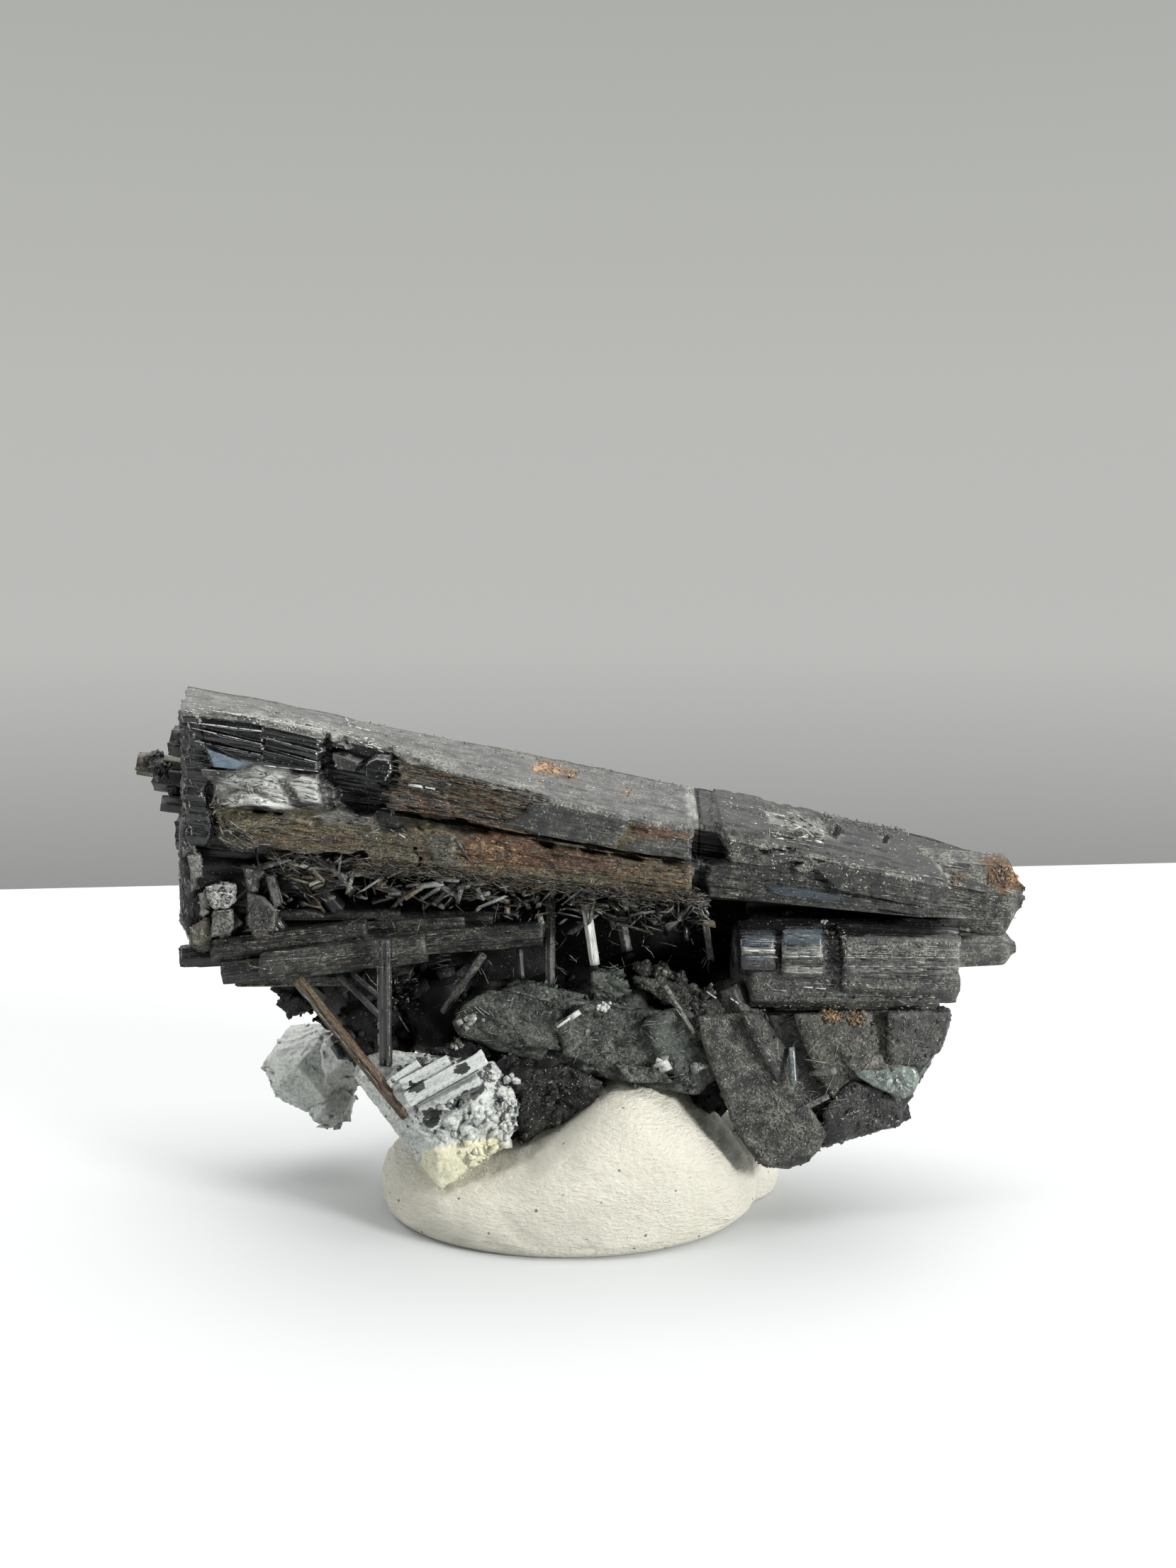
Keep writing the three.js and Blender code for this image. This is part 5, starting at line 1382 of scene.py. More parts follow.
def matrix_shapes(rng):
    """The solid's lumps, with flat dusty faces broken across their front."""
    looks = dict(detail=4, bumps=0.10, bump_size=0.8, dust=0.25)
    shapes = [
        chunk((-3.2, -2.2, 11.8), (3.6, 2.8, 2.1), 61, 22, **looks),
        chunk((2.8, -2.6, 11.3), (4.6, 2.8, 2.7), 62, 24, **looks),
        chunk((6.6, -2.6, 10.0), (3.0, 2.5, 2.3), 63, 18, **looks),
    ]
    for face, _ in broken_faces(MATRIX_FACES, 160, 2.4, bump_size=0.9, ledges=0.12):
        shapes.append(face)
        shapes.append(gravel(face, 130, 0.04, 0.34, rng, flat=0.3, dust=rng.uniform(0, 1, 130)))
        shapes.append(gravel(face, 10, 0.3, 0.7, rng, flat=0.12, dust=rng.uniform(0, 0.8, 10)))
    return shapes


FELDSPAR_CORNERS = [
    (-7.2, -7.5, 3.0), (-6.2, -5.0, 3.2), (-8.8, -4.6, 3.9), (-12.3, -5.6, 9.2), (-12.2, -3.6, 9.6),
    (-10.4, -5.2, 10.6), (-3.1, -7.0, 5.9), (-2.9, -4.6, 6.6), (-2.9, -6.4, 8.4), (-4.2, -5.4, 10.0),
    (-6.0, -7.6, 8.6), (-9.6, -7.2, 8.4), (-7.3, -7.9, 5.4),
]

# The step-like prisms on the front feldspar: ends in pixels, depth and radius.
FELDSPAR_STEPS = [
    ((566, 1532), (634, 1496), -7.5, 0.36),
    ((574, 1552), (684, 1490), -7.8, 0.46),
    ((592, 1566), (676, 1520), -7.7, 0.42),
    ((604, 1590), (668, 1556), -7.8, 0.3),
    ((548, 1530), (592, 1500), -7.2, 0.28),
]

# Painted shade in the gaps between its steps: black spots crowd there and make them greyish.
FELDSPAR_GAP_SHADE = [
    (dict(dust=0.62), [(548, 1512), (600, 1486), (690, 1486), (700, 1528), (612, 1602), (556, 1556)]),
]

# Its black inclusions and its other colours ("dust" is black, "rust" is cream and "pale" is a painted silky
# sheen).
FELDSPAR_PAINT = [
    (dict(dust=0.16, pale=0.45), [(500, 1505), (560, 1500), (612, 1640), (590, 1690), (540, 1600)]),
    (dict(dust=1.0), [(512, 1590), (540, 1600), (575, 1660), (560, 1670)]),
    (dict(rust=0.85, dust=-0.4),
     [(596, 1624), (640, 1612), (700, 1604), (720, 1620), (640, 1690), (588, 1690)]),
    (dict(dust=1.0), [(578, 1526), (596, 1524), (602, 1536), (590, 1544), (578, 1540)]),
    (dict(dust=1.0), [(640, 1502), (656, 1498), (662, 1508), (652, 1516), (640, 1514)]),
    (dict(dust=1.0), [(596, 1566), (616, 1564), (620, 1584), (606, 1592), (596, 1584)]),
    (dict(dust=1.0), [(628, 1556), (684, 1526), (688, 1534), (640, 1566), (628, 1564)]),
    (dict(dust=0.45), [(690, 1510), (740, 1530), (736, 1600), (712, 1600), (700, 1560)]),
]

# Where it is sugary: below a pixel row, and right of a line that runs down from a pixel by a slope.
SUGAR_TOP, SUGAR_FROM, SUGAR_SLOPE = 1545, (575, 1510), 0.62


def feldspar_front_shapes(rng):
    """The white block: a rock with steps that carry a painted silky sheen, sugary at its lower right."""
    block = rock(FELDSPAR_CORNERS, detail=6, bumps=0.07, bump_size=0.9, ledges=0.10, seed=71, dust=-0.1)
    # the steps' pale marks paint highlights along their ridges
    look = dict(sides=4, roll=0.78, deep=0.8, ribs=0.06, chips=0.18, step=0.1, pale=0.85, dust=-0.12)
    steps = []
    for k, (low, high, y, radius) in enumerate(FELDSPAR_STEPS):
        ends = at_pixel(*low, y), at_pixel(*high, y + 0.3)
        steps.append(crystal(*ends, radius, spacing=0.05, seed=401 + k, **look))
    points, _, marks = gravel(block, 1500, 0.10, 0.55, rng, dust=-0.1, pale=rng.uniform(0, 0.9, 1500))
    u, v = to_pixel(points)
    in_sugar = (v > SUGAR_TOP) & (u - SUGAR_FROM[0] > SUGAR_SLOPE * (v - SUGAR_FROM[1]))
    kept = np.repeat(in_sugar.reshape(-1, 8).all(axis=1), 8)
    marks = {name: values[kept].reshape(-1, 8)[:, 0] for name, values in marks.items() if name != "grain"}
    sugar = many(points[kept].reshape(-1, 8, 3), BOX_FACES, marks)
    return painted([painted([block], FELDSPAR_GAP_SHADE, 73), sugar] + steps, FELDSPAR_PAINT, 72)


def feldspar_back_shapes(rng):
    """The pale lump behind, with plates bedded in it."""
    looks = dict(bumps=0.08, bump_size=1.1, ledges=0.10, dust=-0.28, pale=0.6, rust=0.04)
    lumps = [
        chunk((-16.6, 6.4, 5.9), (3.3, 2.9, 3.2), 81, 22, detail=6, **looks),
        chunk((-15.4, 6.0, 3.9), (1.9, 2.0, 1.7), 82, 16, **looks),
        chunk((-14.0, 5.0, 7.4), (2.4, 2.2, 1.8), 83, 16, **looks),
    ]
    return lumps + [gravel(lump, 30, 0.2, 0.6, rng, flat=0.3, dust=-0.2, pale=0.6) for lump in lumps]


PALE_FACET = [
    (1200, 1501), (1233, 1496), (1267, 1500), (1292, 1505), (1297, 1522), (1290, 1542), (1275, 1551),
    (1233, 1534), (1208, 1518),
]


def pale_crystal_shapes():
    """The flat facet that shows, and the lump behind it."""
    looks = dict(bumps=0.04, bump_size=0.7, ledges=0.05)
    facet = faceted(PALE_FACET, -5.3, (0.1, -0.25), seed=91, **looks)
    return [facet, chunk((19.2, -3.9, 8.1), (1.2, 1.3, 1.0), 92, 14, **looks)]


# ---- the tack ------------------------------------------------------------------------------------

# The tack's saddle, as in the solid: half sizes, and heights with where they are and how wide.
TACK_HALF, TACK_SHIFT, TACK_MIDDLE = (11.4, 9.7), -0.8, 0.9
TACK_HEIGHT, TACK_UNDER, TACK_ROUND = 3.3, 2.4, 0.66
TACK_BULGE, BULGE_AT, BULGE_WIDTH = 5.2, 4.3, 5.6
TACK_LOBE, LOBE_AT, LOBE_WIDTH = 2.2, (-9, -1), (3.5, 3.4)
BACK_LOBE, BACK_LOBE_AT = np.array([4.3, 4.6, 3.4]), np.array([8.8, 2.2, 1.0])
TACK_SKIN = 0.08  # how far inside the solid its surface lies


def tack_shapes():
    """The tack: the same saddle as its solid, smooth and finely wrinkled, and a lobe behind."""
    directions, faces = sphere(6)
    x, y, up = TACK_HALF[0] * directions[:, 0], TACK_HALF[1] * directions[:, 1] + TACK_SHIFT, directions[:, 2]
    bulge = TACK_BULGE * np.exp(-(((x - BULGE_AT) / BULGE_WIDTH) ** 2))
    across, back = (x - LOBE_AT[0]) / LOBE_WIDTH[0], (y - LOBE_AT[1]) / LOBE_WIDTH[1]
    lobe = TACK_LOBE * np.exp(-(across**2) - back**2)
    risen = (TACK_HEIGHT + bulge + lobe) * np.maximum(up, 0) ** TACK_ROUND
    z = TACK_MIDDLE + np.where(up > 0, risen, TACK_UNDER * up)
    points = np.stack([x, y, np.maximum(z, 0)], -1)
    grain = points @ np.array([[1.0, 0.25, -0.35], [0.0, 1.0, 0.2], [0.9, 0.0, 2.6]])
    folds = smooth(0.30, 0.0, np.abs(noise(grain * 0.28, 94)))
    wrinkle = 0.07 * ridged(grain * 0.8, 4, 91) + 0.12 * noise(points * 0.35, 92) + 0.10 * folds
    sunk = smooth(0.0, 0.8, points[:, 2]) * (TACK_SKIN + np.maximum(wrinkle, -TACK_SKIN))
    front = with_marks(points - directions * sunk[:, None], faces, grain)
    directions, faces = sphere(5)
    points = directions * BACK_LOBE + BACK_LOBE_AT
    grain = points * np.array([1.2, 1.2, 2.4])
    points = points - directions * (0.05 + 0.02 * ridged(grain * 0.7, 4, 93))[:, None]
    points[:, 2] = np.maximum(points[:, 2], 0)
    return [front, with_marks(points, faces, grain)]


# ---- small things seen on the surfaces -----------------------------------------------------------

# White and silver are partly pale grains and partly painted highlights and glints; blue is a painted
# reflection.
LOOKS = {
    "white": dict(pale=0.9, dust=0.2),
    "silver": dict(pale=0.28, dust=0.6),
    "grey": dict(pale=0.04, dust=0.9),
    "dim": dict(dust=0.45),
    "black": dict(dust=0.0, gloss=0.9),
    "blue": dict(cool=1.0, dust=0.0, gloss=0.8),
    "cream": dict(pale=0.2, dust=0.5, rust=0.06),
    "tan": dict(pale=0.05, dust=0.5, rust=0.28),
    "olive": dict(dust=0.4, rust=0.22),
    "brown": dict(dust=0.1, rust=0.42),
    "orange": dict(dust=0.2, rust=0.85),
}

# Thin bright or dark lines: both ends in the photograph's pixels, the width in pixels and the look.
# The white and silver lines are mostly painted highlights and glints on glossy facets.
LINES = [
    (268, 1019, 370, 1032, 1.8, "white"), (271, 1027, 370, 1050, 1.5, "white"),
    (273, 1045, 368, 1065, 1.6, "silver"), (300, 1061, 360, 1078, 1.4, "silver"),
    (378, 1025, 447, 1041, 1.5, "silver"), (375, 1041, 447, 1060, 1.3, "silver"),
    (376, 1055, 447, 1076, 2.0, "white"), (372, 1080, 447, 1088, 1.8, "white"),
    (285, 1086, 358, 1090, 1.5, "silver"), (300, 1003, 360, 1012, 2.2, "white"),
    (362, 1014, 410, 1021, 2.6, "white"), (408, 1021, 450, 1029, 2.8, "white"),
    (488, 1012, 498, 1034, 2.2, "white"), (500, 1026, 522, 1031, 2.6, "white"),
    (340, 1196, 428, 1199, 1.8, "tan"), (300, 1170, 330, 1196, 2.0, "grey"),
    (312, 1164, 345, 1190, 2.0, "grey"), (326, 1160, 362, 1184, 1.6, "silver"),
    (443, 1224, 452, 1200, 5.0, "grey"), (450, 1200, 472, 1224, 4.5, "silver"),
    (520, 1104, 545, 1103, 1.5, "silver"), (577, 1107, 613, 1113, 3.2, "white"),
    (633, 1097, 690, 1108, 2.5, "brown"), (640, 1102, 672, 1110, 1.5, "orange"),
    (610, 1127, 713, 1159, 2.4, "tan"), (598, 1116, 650, 1132, 1.6, "tan"),
    (550, 1150, 604, 1159, 2.6, "tan"), (549, 1126, 556, 1148, 2.6, "tan"),
    (604, 1152, 690, 1173, 2.2, "brown"), (690, 1173, 800, 1193, 1.8, "brown"),
    (740, 1180, 862, 1203, 1.5, "tan"), (860, 1201, 968, 1217, 1.8, "brown"),
    (600, 1096, 720, 1116, 1.3, "cream"), (643, 1183, 668, 1222, 3.0, "dim"),
    (550, 1170, 573, 1182, 1.8, "white"), (520, 1188, 560, 1178, 1.4, "tan"),
    (560, 1228, 713, 1238, 1.5, "cream"), (713, 1236, 830, 1252, 1.5, "cream"),
    (700, 1226, 820, 1246, 1.3, "tan"), (780, 1250, 828, 1258, 1.6, "cream"),
    (640, 1232, 760, 1247, 1.3, "tan"), (850, 1232, 968, 1246, 1.3, "olive"),
    (1075, 1160, 1140, 1170, 2.8, "silver"), (1095, 1150, 1150, 1172, 2.4, "grey"),
    (1120, 1163, 1147, 1176, 3.0, "white"), (1080, 1173, 1160, 1190, 2.0, "silver"),
    (1110, 1187, 1160, 1196, 2.0, "silver"), (1100, 1193, 1150, 1200, 1.4, "tan"),
    (1125, 1150, 1170, 1180, 1.6, "silver"), (1150, 1212, 1330, 1240, 1.2, "silver"),
    (1330, 1220, 1356, 1224, 2.0, "silver"), (1050, 1341, 1096, 1341, 2.5, "white"),
    (1052, 1350, 1096, 1350, 1.5, "silver"), (1052, 1328, 1095, 1328, 1.3, "silver"),
    (1108, 1345, 1160, 1343, 1.8, "silver"), (1108, 1350, 1160, 1349, 1.2, "white"),
    (1108, 1365, 1160, 1366, 1.8, "silver"), (1108, 1371, 1160, 1372, 1.2, "white"),
    (1108, 1338, 1158, 1337, 1.4, "grey"), (1195, 1344, 1340, 1345, 1.0, "grey"),
    (1190, 1351, 1350, 1351, 1.4, "silver"), (1190, 1363, 1348, 1364, 1.6, "silver"),
    (1192, 1371, 1310, 1372, 1.2, "grey"), (1126, 1386, 1180, 1389, 1.6, "silver"),
    (1130, 1392, 1165, 1395, 1.8, "white"), (1270, 1405, 1320, 1407, 1.4, "silver"),
    (1280, 1388, 1350, 1386, 1.4, "grey"), (1085, 1395, 1110, 1398, 1.8, "silver"),
    (997, 1399, 1010, 1408, 2.2, "white"), (1030, 1408, 1042, 1416, 2.2, "white"),
    (1072, 1425, 1080, 1424, 2.2, "white"), (803, 1347, 815, 1358, 2.2, "white"),
    (990, 1336, 1007, 1357, 1.6, "white"), (562, 1432, 577, 1455, 2.0, "white"),
    (428, 1402, 570, 1574, 1.8, "cream"), (532, 1340, 534, 1492, 1.6, "grey"),
    (549, 1340, 549, 1492, 1.8, "grey"), (340, 1391, 487, 1387, 2.4, "tan"),
    (370, 1356, 520, 1345, 1.3, "grey"), (344, 1324, 452, 1314, 1.3, "grey"),
    (787, 1448, 818, 1427, 7.0, "white"), (944, 1410, 976, 1453, 1.6, "silver"),
    (715, 1396, 775, 1411, 3.0, "dim"), (720, 1399, 776, 1413, 1.4, "grey"),
    (300, 1250, 326, 1250, 1.8, "white"), (304, 1258, 328, 1262, 2.0, "white"),
    (300, 1268, 322, 1272, 1.8, "silver"), (306, 1286, 326, 1284, 1.6, "silver"),
    (1110, 1497, 1122, 1468, 1.6, "white"), (1142, 1556, 1148, 1548, 1.5, "silver"),
]

# Streaks and grains scattered over a stretch: how many, their lengths and widths in millimetres, the
# drop of their direction for each unit to the right or the pixel that they curl round, how far they
# stray from it, their looks and the outline in pixels.
# White and silver grains are partly dust and partly painted glints, and blue ones painted reflections.
FIELDS = [
    # the top strip
    (330, (0.04, 0.14), (0.03, 0.06), 0.2, 1.2, "white silver silver",
     [(262, 975), (560, 1030), (985, 1115), (985, 1150), (560, 1060), (262, 1002)]),
    (160, (0.08, 0.35), (0.03, 0.08), 0.2, 0.4, "white silver grey",
     [(262, 998), (360, 1006), (520, 1036), (560, 1052), (556, 1066), (450, 1032), (262, 1010)]),
    (220, (0.04, 0.18), (0.03, 0.06), 0.2, 1.5, "white silver grey",
     [(1004, 1118), (1160, 1150), (1345, 1196), (1345, 1228), (1160, 1186), (1004, 1170)]),
    (60, (0.15, 0.7), (0.04, 0.1), 0.2, 0.3, "silver white grey tan",
     [(1070, 1144), (1150, 1156), (1170, 1190), (1090, 1186)]),
    # the left end and the shell-like break
    (110, (0.1, 0.5), (0.03, 0.06), 9.0, 0.2, "silver grey black black",
     [(254, 1010), (270, 1010), (272, 1330), (256, 1330)]),
    (120, (0.1, 0.7), (0.03, 0.07), 0.15, 0.3, "silver grey dim silver",
     [(278, 1090), (360, 1086), (450, 1094), (450, 1140), (300, 1150)]),
    (120, (0.3, 1.3), (0.03, 0.08), (372, 1128), 0.12, "silver grey dim cream dim black",
     [(282, 1110), (302, 1104), (316, 1150), (362, 1186), (350, 1200), (304, 1186)]),
    (260, (0.1, 0.8), (0.03, 0.07), 0.05, 0.35, "tan olive dim cream black black grey",
     [(330, 1150), (515, 1148), (545, 1200), (430, 1206), (340, 1200)]),
    (60, (0.06, 0.2), (0.03, 0.08), 0.2, 1.5, "silver dim black",
     [(452, 1040), (556, 1074), (545, 1140), (470, 1148)]),
    # the upper slab
    (380, (0.3, 2.2), (0.04, 0.1), 0.19, 0.06, "olive brown black black dim black tan",
     [(562, 1074), (700, 1106), (775, 1122), (720, 1165), (640, 1158), (550, 1142)]),
    (200, (0.06, 0.25), (0.03, 0.06), 0.19, 0.8, "grey silver dim black",
     [(720, 1150), (780, 1126), (975, 1160), (978, 1212), (868, 1200), (740, 1176)]),
    # the lower slab
    (420, (0.08, 0.5), (0.03, 0.08), 0.14, 0.5, "brown orange tan brown black olive black",
     [(650, 1176), (868, 1208), (972, 1222), (972, 1258), (760, 1244), (640, 1226)]),
    (140, (0.1, 0.6), (0.03, 0.08), 0.14, 0.4, "olive tan dim dim black",
     [(500, 1172), (640, 1174), (650, 1222), (520, 1224)]),
    # right of the crack
    (420, (0.04, 0.25), (0.03, 0.06), 0.19, 0.9, "silver grey grey dim black white",
     [(1024, 1176), (1345, 1234), (1345, 1262), (1150, 1252), (1024, 1220)]),
    (120, (0.08, 0.7), (0.03, 0.08), 0.12, 0.15, "grey dim black",
     [(1000, 1222), (1090, 1236), (1330, 1268), (1330, 1280), (1180, 1276), (1000, 1262)]),
    (110, (0.1, 0.9), (0.03, 0.06), 0.05, 0.1, "grey dim silver",
     [(1345, 1250), (1436, 1252), (1430, 1300), (1360, 1320)]),
    # the second crystal
    (26, (0.3, 1.2), (0.02, 0.05), 0.0, 0.03, "silver black black grey blue", box(1062, 1318, 1090, 1368)),
    (44, (0.3, 1.2), (0.02, 0.05), 0.0, 0.03, "grey black black dim silver", box(1120, 1316, 1148, 1374)),
    (160, (0.08, 0.35), (0.04, 0.09), 0.3, 1.3, "grey dim black black silver",
     [(1162, 1306), (1195, 1310), (1192, 1400), (1165, 1392)]),
    (150, (0.3, 2.2), (0.03, 0.07), 0.02, 0.03, "grey dim dim black silver",
     [(1220, 1328), (1330, 1330), (1322, 1382), (1220, 1382)]),
    (320, (0.04, 0.16), (0.03, 0.07), 0.02, 1.5, "grey silver grey",
     [(1195, 1328), (1352, 1330), (1346, 1350), (1195, 1348)]),
    (420, (0.06, 0.4), (0.03, 0.08), 0.04, 0.6, "grey dim dim black silver",
     [(1054, 1378), (1345, 1382), (1325, 1424), (1060, 1420)]),
    # the lower right
    (760, (0.05, 0.3), (0.02, 0.05), 1.6, 0.9, "grey dim silver grey black",
     [(990, 1420), (1080, 1440), (1160, 1600), (1120, 1640), (1060, 1640)]),
    (90, (0.4, 1.5), (0.02, 0.04), 1.3, 0.5, "silver grey grey tan",
     [(1030, 1430), (1080, 1440), (1160, 1590), (1120, 1630), (1040, 1500)]),
    (70, (0.4, 1.4), (0.02, 0.04), 0.6, 1.3, "silver grey tan grey",
     [(1100, 1436), (1330, 1436), (1300, 1500), (1200, 1510), (1170, 1590), (1130, 1540)]),
    (420, (0.05, 0.35), (0.02, 0.05), 0.3, 1.3, "grey dim silver tan black",
     [(1100, 1436), (1330, 1440), (1320, 1500), (1200, 1506), (1170, 1590), (1130, 1540)]),
    (120, (0.06, 0.25), (0.04, 0.09), 0.3, 1.5, "silver black dim",
     [(1170, 1531), (1274, 1540), (1270, 1590), (1180, 1590)]),
    # the middle and the bundle
    (90, (0.06, 0.25), (0.04, 0.09), 0.3, 1.5, "dim black silver",
     [(740, 1500), (840, 1510), (780, 1590), (735, 1590)]),
    (80, (0.08, 0.35), (0.04, 0.09), 0.3, 1.5, "silver grey dim black",
     [(549, 1380), (590, 1376), (592, 1424), (552, 1424)]),
    (260, (0.15, 1.2), (0.03, 0.07), -0.08, 0.15, "grey dim dim tan black",
     [(340, 1312), (600, 1300), (760, 1312), (700, 1340), (500, 1372), (345, 1384)]),
    (90, (0.08, 0.35), (0.04, 0.09), 0.4, 1.0, "silver white grey black",
     [(288, 1246), (332, 1248), (330, 1282), (292, 1284)]),
    (120, (0.08, 0.35), (0.04, 0.08), 0.6, 0.9, "grey dim dim black",
     [(349, 1281), (394, 1284), (390, 1322), (352, 1320)]),
    # the matrix
    (620, (0.04, 0.3), (0.02, 0.05), 0.3, 1.5, "grey dim silver grey dim",
     [(640, 1400), (900, 1420), (1000, 1450), (985, 1540), (800, 1500), (640, 1470)]),
    (60, (0.4, 1.3), (0.02, 0.05), -0.3, 0.6, "silver grey dim",
     [(650, 1410), (1000, 1440), (985, 1530), (800, 1500), (660, 1460)]),
]

# Crumbs: a pixel, how far they spread in pixels, how many, their size in millimetres and their looks.
CRUMBS = [
    (851, 1420, 6, 14, 0.22, "white"), (936, 1502, 7, 7, 0.42, "white white cream"),
    (985, 1504, 5, 6, 0.36, "white white cream"), (757, 1267, 4, 10, 0.18, "white"),
    (732, 1258, 5, 8, 0.12, "cream"), (1112, 1289, 4, 10, 0.13, "white"), (1163, 1301, 3, 6, 0.12, "white"),
    (1172, 1434, 11, 60, 0.12, "orange tan"), (1205, 1436, 13, 70, 0.12, "orange tan"),
    (645, 1473, 8, 26, 0.22, "cream tan white orange"),
    (1412, 1230, 16, 90, 0.11, "orange tan brown olive dim"),
    (1424, 1240, 14, 50, 0.11, "tan orange brown"), (1347, 1240, 8, 30, 0.1, "brown tan"),
    (495, 1022, 7, 16, 0.12, "silver"), (386, 1006, 8, 16, 0.1, "silver"),
    (350, 1112, 12, 24, 0.14, "silver"), (664, 1440, 11, 12, 0.3, "silver silver white"),
    (722, 1522, 6, 6, 0.3, "white"), (772, 1084, 14, 60, 0.09, "orange orange tan"),
    (806, 1092, 10, 30, 0.08, "tan orange"), (885, 1117, 7, 16, 0.08, "tan orange"),
]


TRIES = 6  # how many times more pixels than needed are drawn, because some fall outside


def strewn(outline, count, rng):
    """Random pixels inside an outline."""
    corners = np.array(outline, float)
    u, v = rng.uniform(corners.min(0), corners.max(0), (count * TRIES, 2)).T
    kept = np.flatnonzero(depth_inside(outline, u, v) > 0)[:count]
    return u[kept], v[kept]


def look_of(names, count, rng):
    """The marks of things whose looks are drawn from some names."""
    names = names.split()
    drawn = rng.integers(0, len(names), count)
    looks = {}
    for mark, usual in MARKS.items():
        looks[mark] = np.array([LOOKS[name].get(mark, usual) for name in names])[drawn]
    return looks


LINE_PART = 16  # how long the splinters of a line are, in pixels
LINE_REACH = 0.5  # how far from the usual depth a line may follow what the camera sees
LINE_OUT = (0.0, -1.0, 0.15)


def line_shapes(pieces, rng):
    """Bright or dark splinters end to end along each line, laid on what the camera sees there."""
    shapes = []
    for au, av, bu, bv, width, name in LINES:
        parts = max(2, int(np.hypot(bu - au, bv - av) / LINE_PART))
        t = (np.arange(parts) + 0.5) / parts
        u, v = au + (bu - au) * t, av + (bv - av) * t
        places, _, hits = cast(u, v, pieces)
        if not hits.any():
            continue
        usual = np.median(places[hits, 1])
        depth = np.where(hits, np.clip(places[:, 1], usual - LINE_REACH, usual + LINE_REACH), usual)
        middle = np.array([at_pixel(*where) for where in zip(u, v, depth)])
        whole = at_pixel(bu, bv, usual) - at_pixel(au, av, usual)
        length = rng.uniform(0.8, 1.15, parts) * np.linalg.norm(whole) / parts
        size = stack(length, rng.uniform(0.5, 1.2, parts) * width / PX_PER_MM, 0.12)
        along = np.broadcast_to(whole, (parts, 3)) + rng.normal(0, 0.02, (parts, 3))
        out = np.broadcast_to(np.array(LINE_OUT), (parts, 3))
        shapes.append(shards(middle, along, out, size, rng, 0.2, **look_of(name, parts, rng)))
    return shapes


def field_shapes(pieces, rng):
    """The streaks and grains of each field, laid on what the camera sees there."""
    shapes = []
    for count, lengths, widths, drop, stray, names, outline in FIELDS:
        u, v = strewn(outline, count, rng)
        places, ways, hits = cast(u, v, pieces)
        places, ways = places[hits], ways[hits]
        kept = len(places)
        if np.ndim(drop):
            course = np.arctan2(u[hits] - drop[0], v[hits] - drop[1])
        else:
            course = np.full(kept, -math.atan(drop))
        course = course + rng.normal(0, stray, kept)
        along = stack(np.cos(course), 0.0, np.sin(course))
        along = unit(along - ways * np.sum(along * ways, axis=1, keepdims=True))
        length = skewed(lengths[0], lengths[1] / lengths[0], kept, rng)
        width = rng.uniform(*widths, kept)
        tilted = unit(ways + rng.normal(0, 0.25, (kept, 3)))
        size = stack(length, width, width * 0.8)
        shapes.append(shards(places, along, tilted, size, rng, 0.3, **look_of(names, kept, rng)))
    return shapes


def crumb_shapes(pieces, rng):
    """The crumbs of each heap, laid on what the camera sees there."""
    shapes = []
    for at_u, at_v, spread, count, size, names in CRUMBS:
        u, v = at_u + rng.normal(0, spread * 0.6, count), at_v + rng.normal(0, spread * 0.45, count)
        places, _, hits = cast(u, v, pieces)
        places = places[hits]
        kept = len(places)
        sizes = size * rng.uniform(0.4, 1.6, (kept, 3))
        way, turned = rng.normal(size=(kept, 3)), unit(rng.normal(size=(kept, 3)))
        shapes.append(shards(places, way, turned, sizes, rng, 0.3, **look_of(names, kept, rng)))
    return shapes


def top_edge_fuzz(rng):
    """The fine whiskers along the top edge, mostly beyond the crack."""
    beyond, before = 300, 120
    count = beyond + before
    x = np.concatenate([rng.uniform(13.0, 20.5, beyond), rng.uniform(-12, 13, before)])
    y = rng.uniform(0.4, 2.6, count)
    z = top_edge(x) - 0.15 * np.abs(y - 2.0) - 0.02
    aside, back = rng.normal(0, 0.8, count), rng.normal(0, 0.5, count)
    direction = unit(stack(aside, back, rng.uniform(0.2, 1.0, count)))
    looks = look_of("grey dim silver grey", count, rng)
    length, width = rng.uniform(0.06, 0.30, count), rng.uniform(0.03, 0.07, count)
    return hairs(stack(x, y, z), direction, length, width, rng, **looks)


def leaning(lean, turn, rng):
    """Ways that lean by these angles from +X, and turn to the front or the back by about that much."""
    return stack(np.cos(lean), rng.normal(0, turn, len(lean)), np.sin(lean))


def needles(middle, direction, length, width, rng, **looks):
    """Hairs by their middles."""
    return hairs(middle - unit(direction) * (length / 2)[:, None], direction, length, width, rng, **looks)


def felt_mat(rng):
    """Fine needles matted in bunches under the main crystal's lower edge."""
    x = rng.uniform(-16.5, 8.0, 3400)
    depth = rng.uniform(0, 1, 3400)
    z = low_edge(x) + 0.35 - 1.9 * depth**1.4
    bunched = waves(x, z, 0.9, 1.3, 95) > 1.2 * depth - 0.75
    x, depth, z = x[bunched], depth[bunched], z[bunched]
    count = len(x)
    y = rng.uniform(-5.1, -3.2, count) + depth * 0.8
    direction = leaning(rng.normal(-0.12, 0.50, count), 0.3, rng)
    length, width = skewed(0.25, 7.0, count, rng), skewed(0.035, 5.0, count, rng)
    names = "dim grey olive black black tan dim grey black silver olive black silver"
    return needles(stack(x, y, z), direction, length, width, rng, **look_of(names, count, rng))


def felt_loose(rng):
    """Looser needles across the hollows."""
    count = 130
    x, z = rng.uniform(-18.5, 8.5, count), rng.uniform(14.2, 18.6, count)
    y = rng.uniform(-4.4, -1.6, count)
    direction = leaning(rng.uniform(0, math.pi, count), 0.4, rng)
    length = rng.uniform(0.3, 1.3, count)
    looks = look_of("dim dim black dim grey", count, rng)
    return needles(stack(x, y, z), direction, length, rng.uniform(0.03, 0.09, count), rng, **looks)


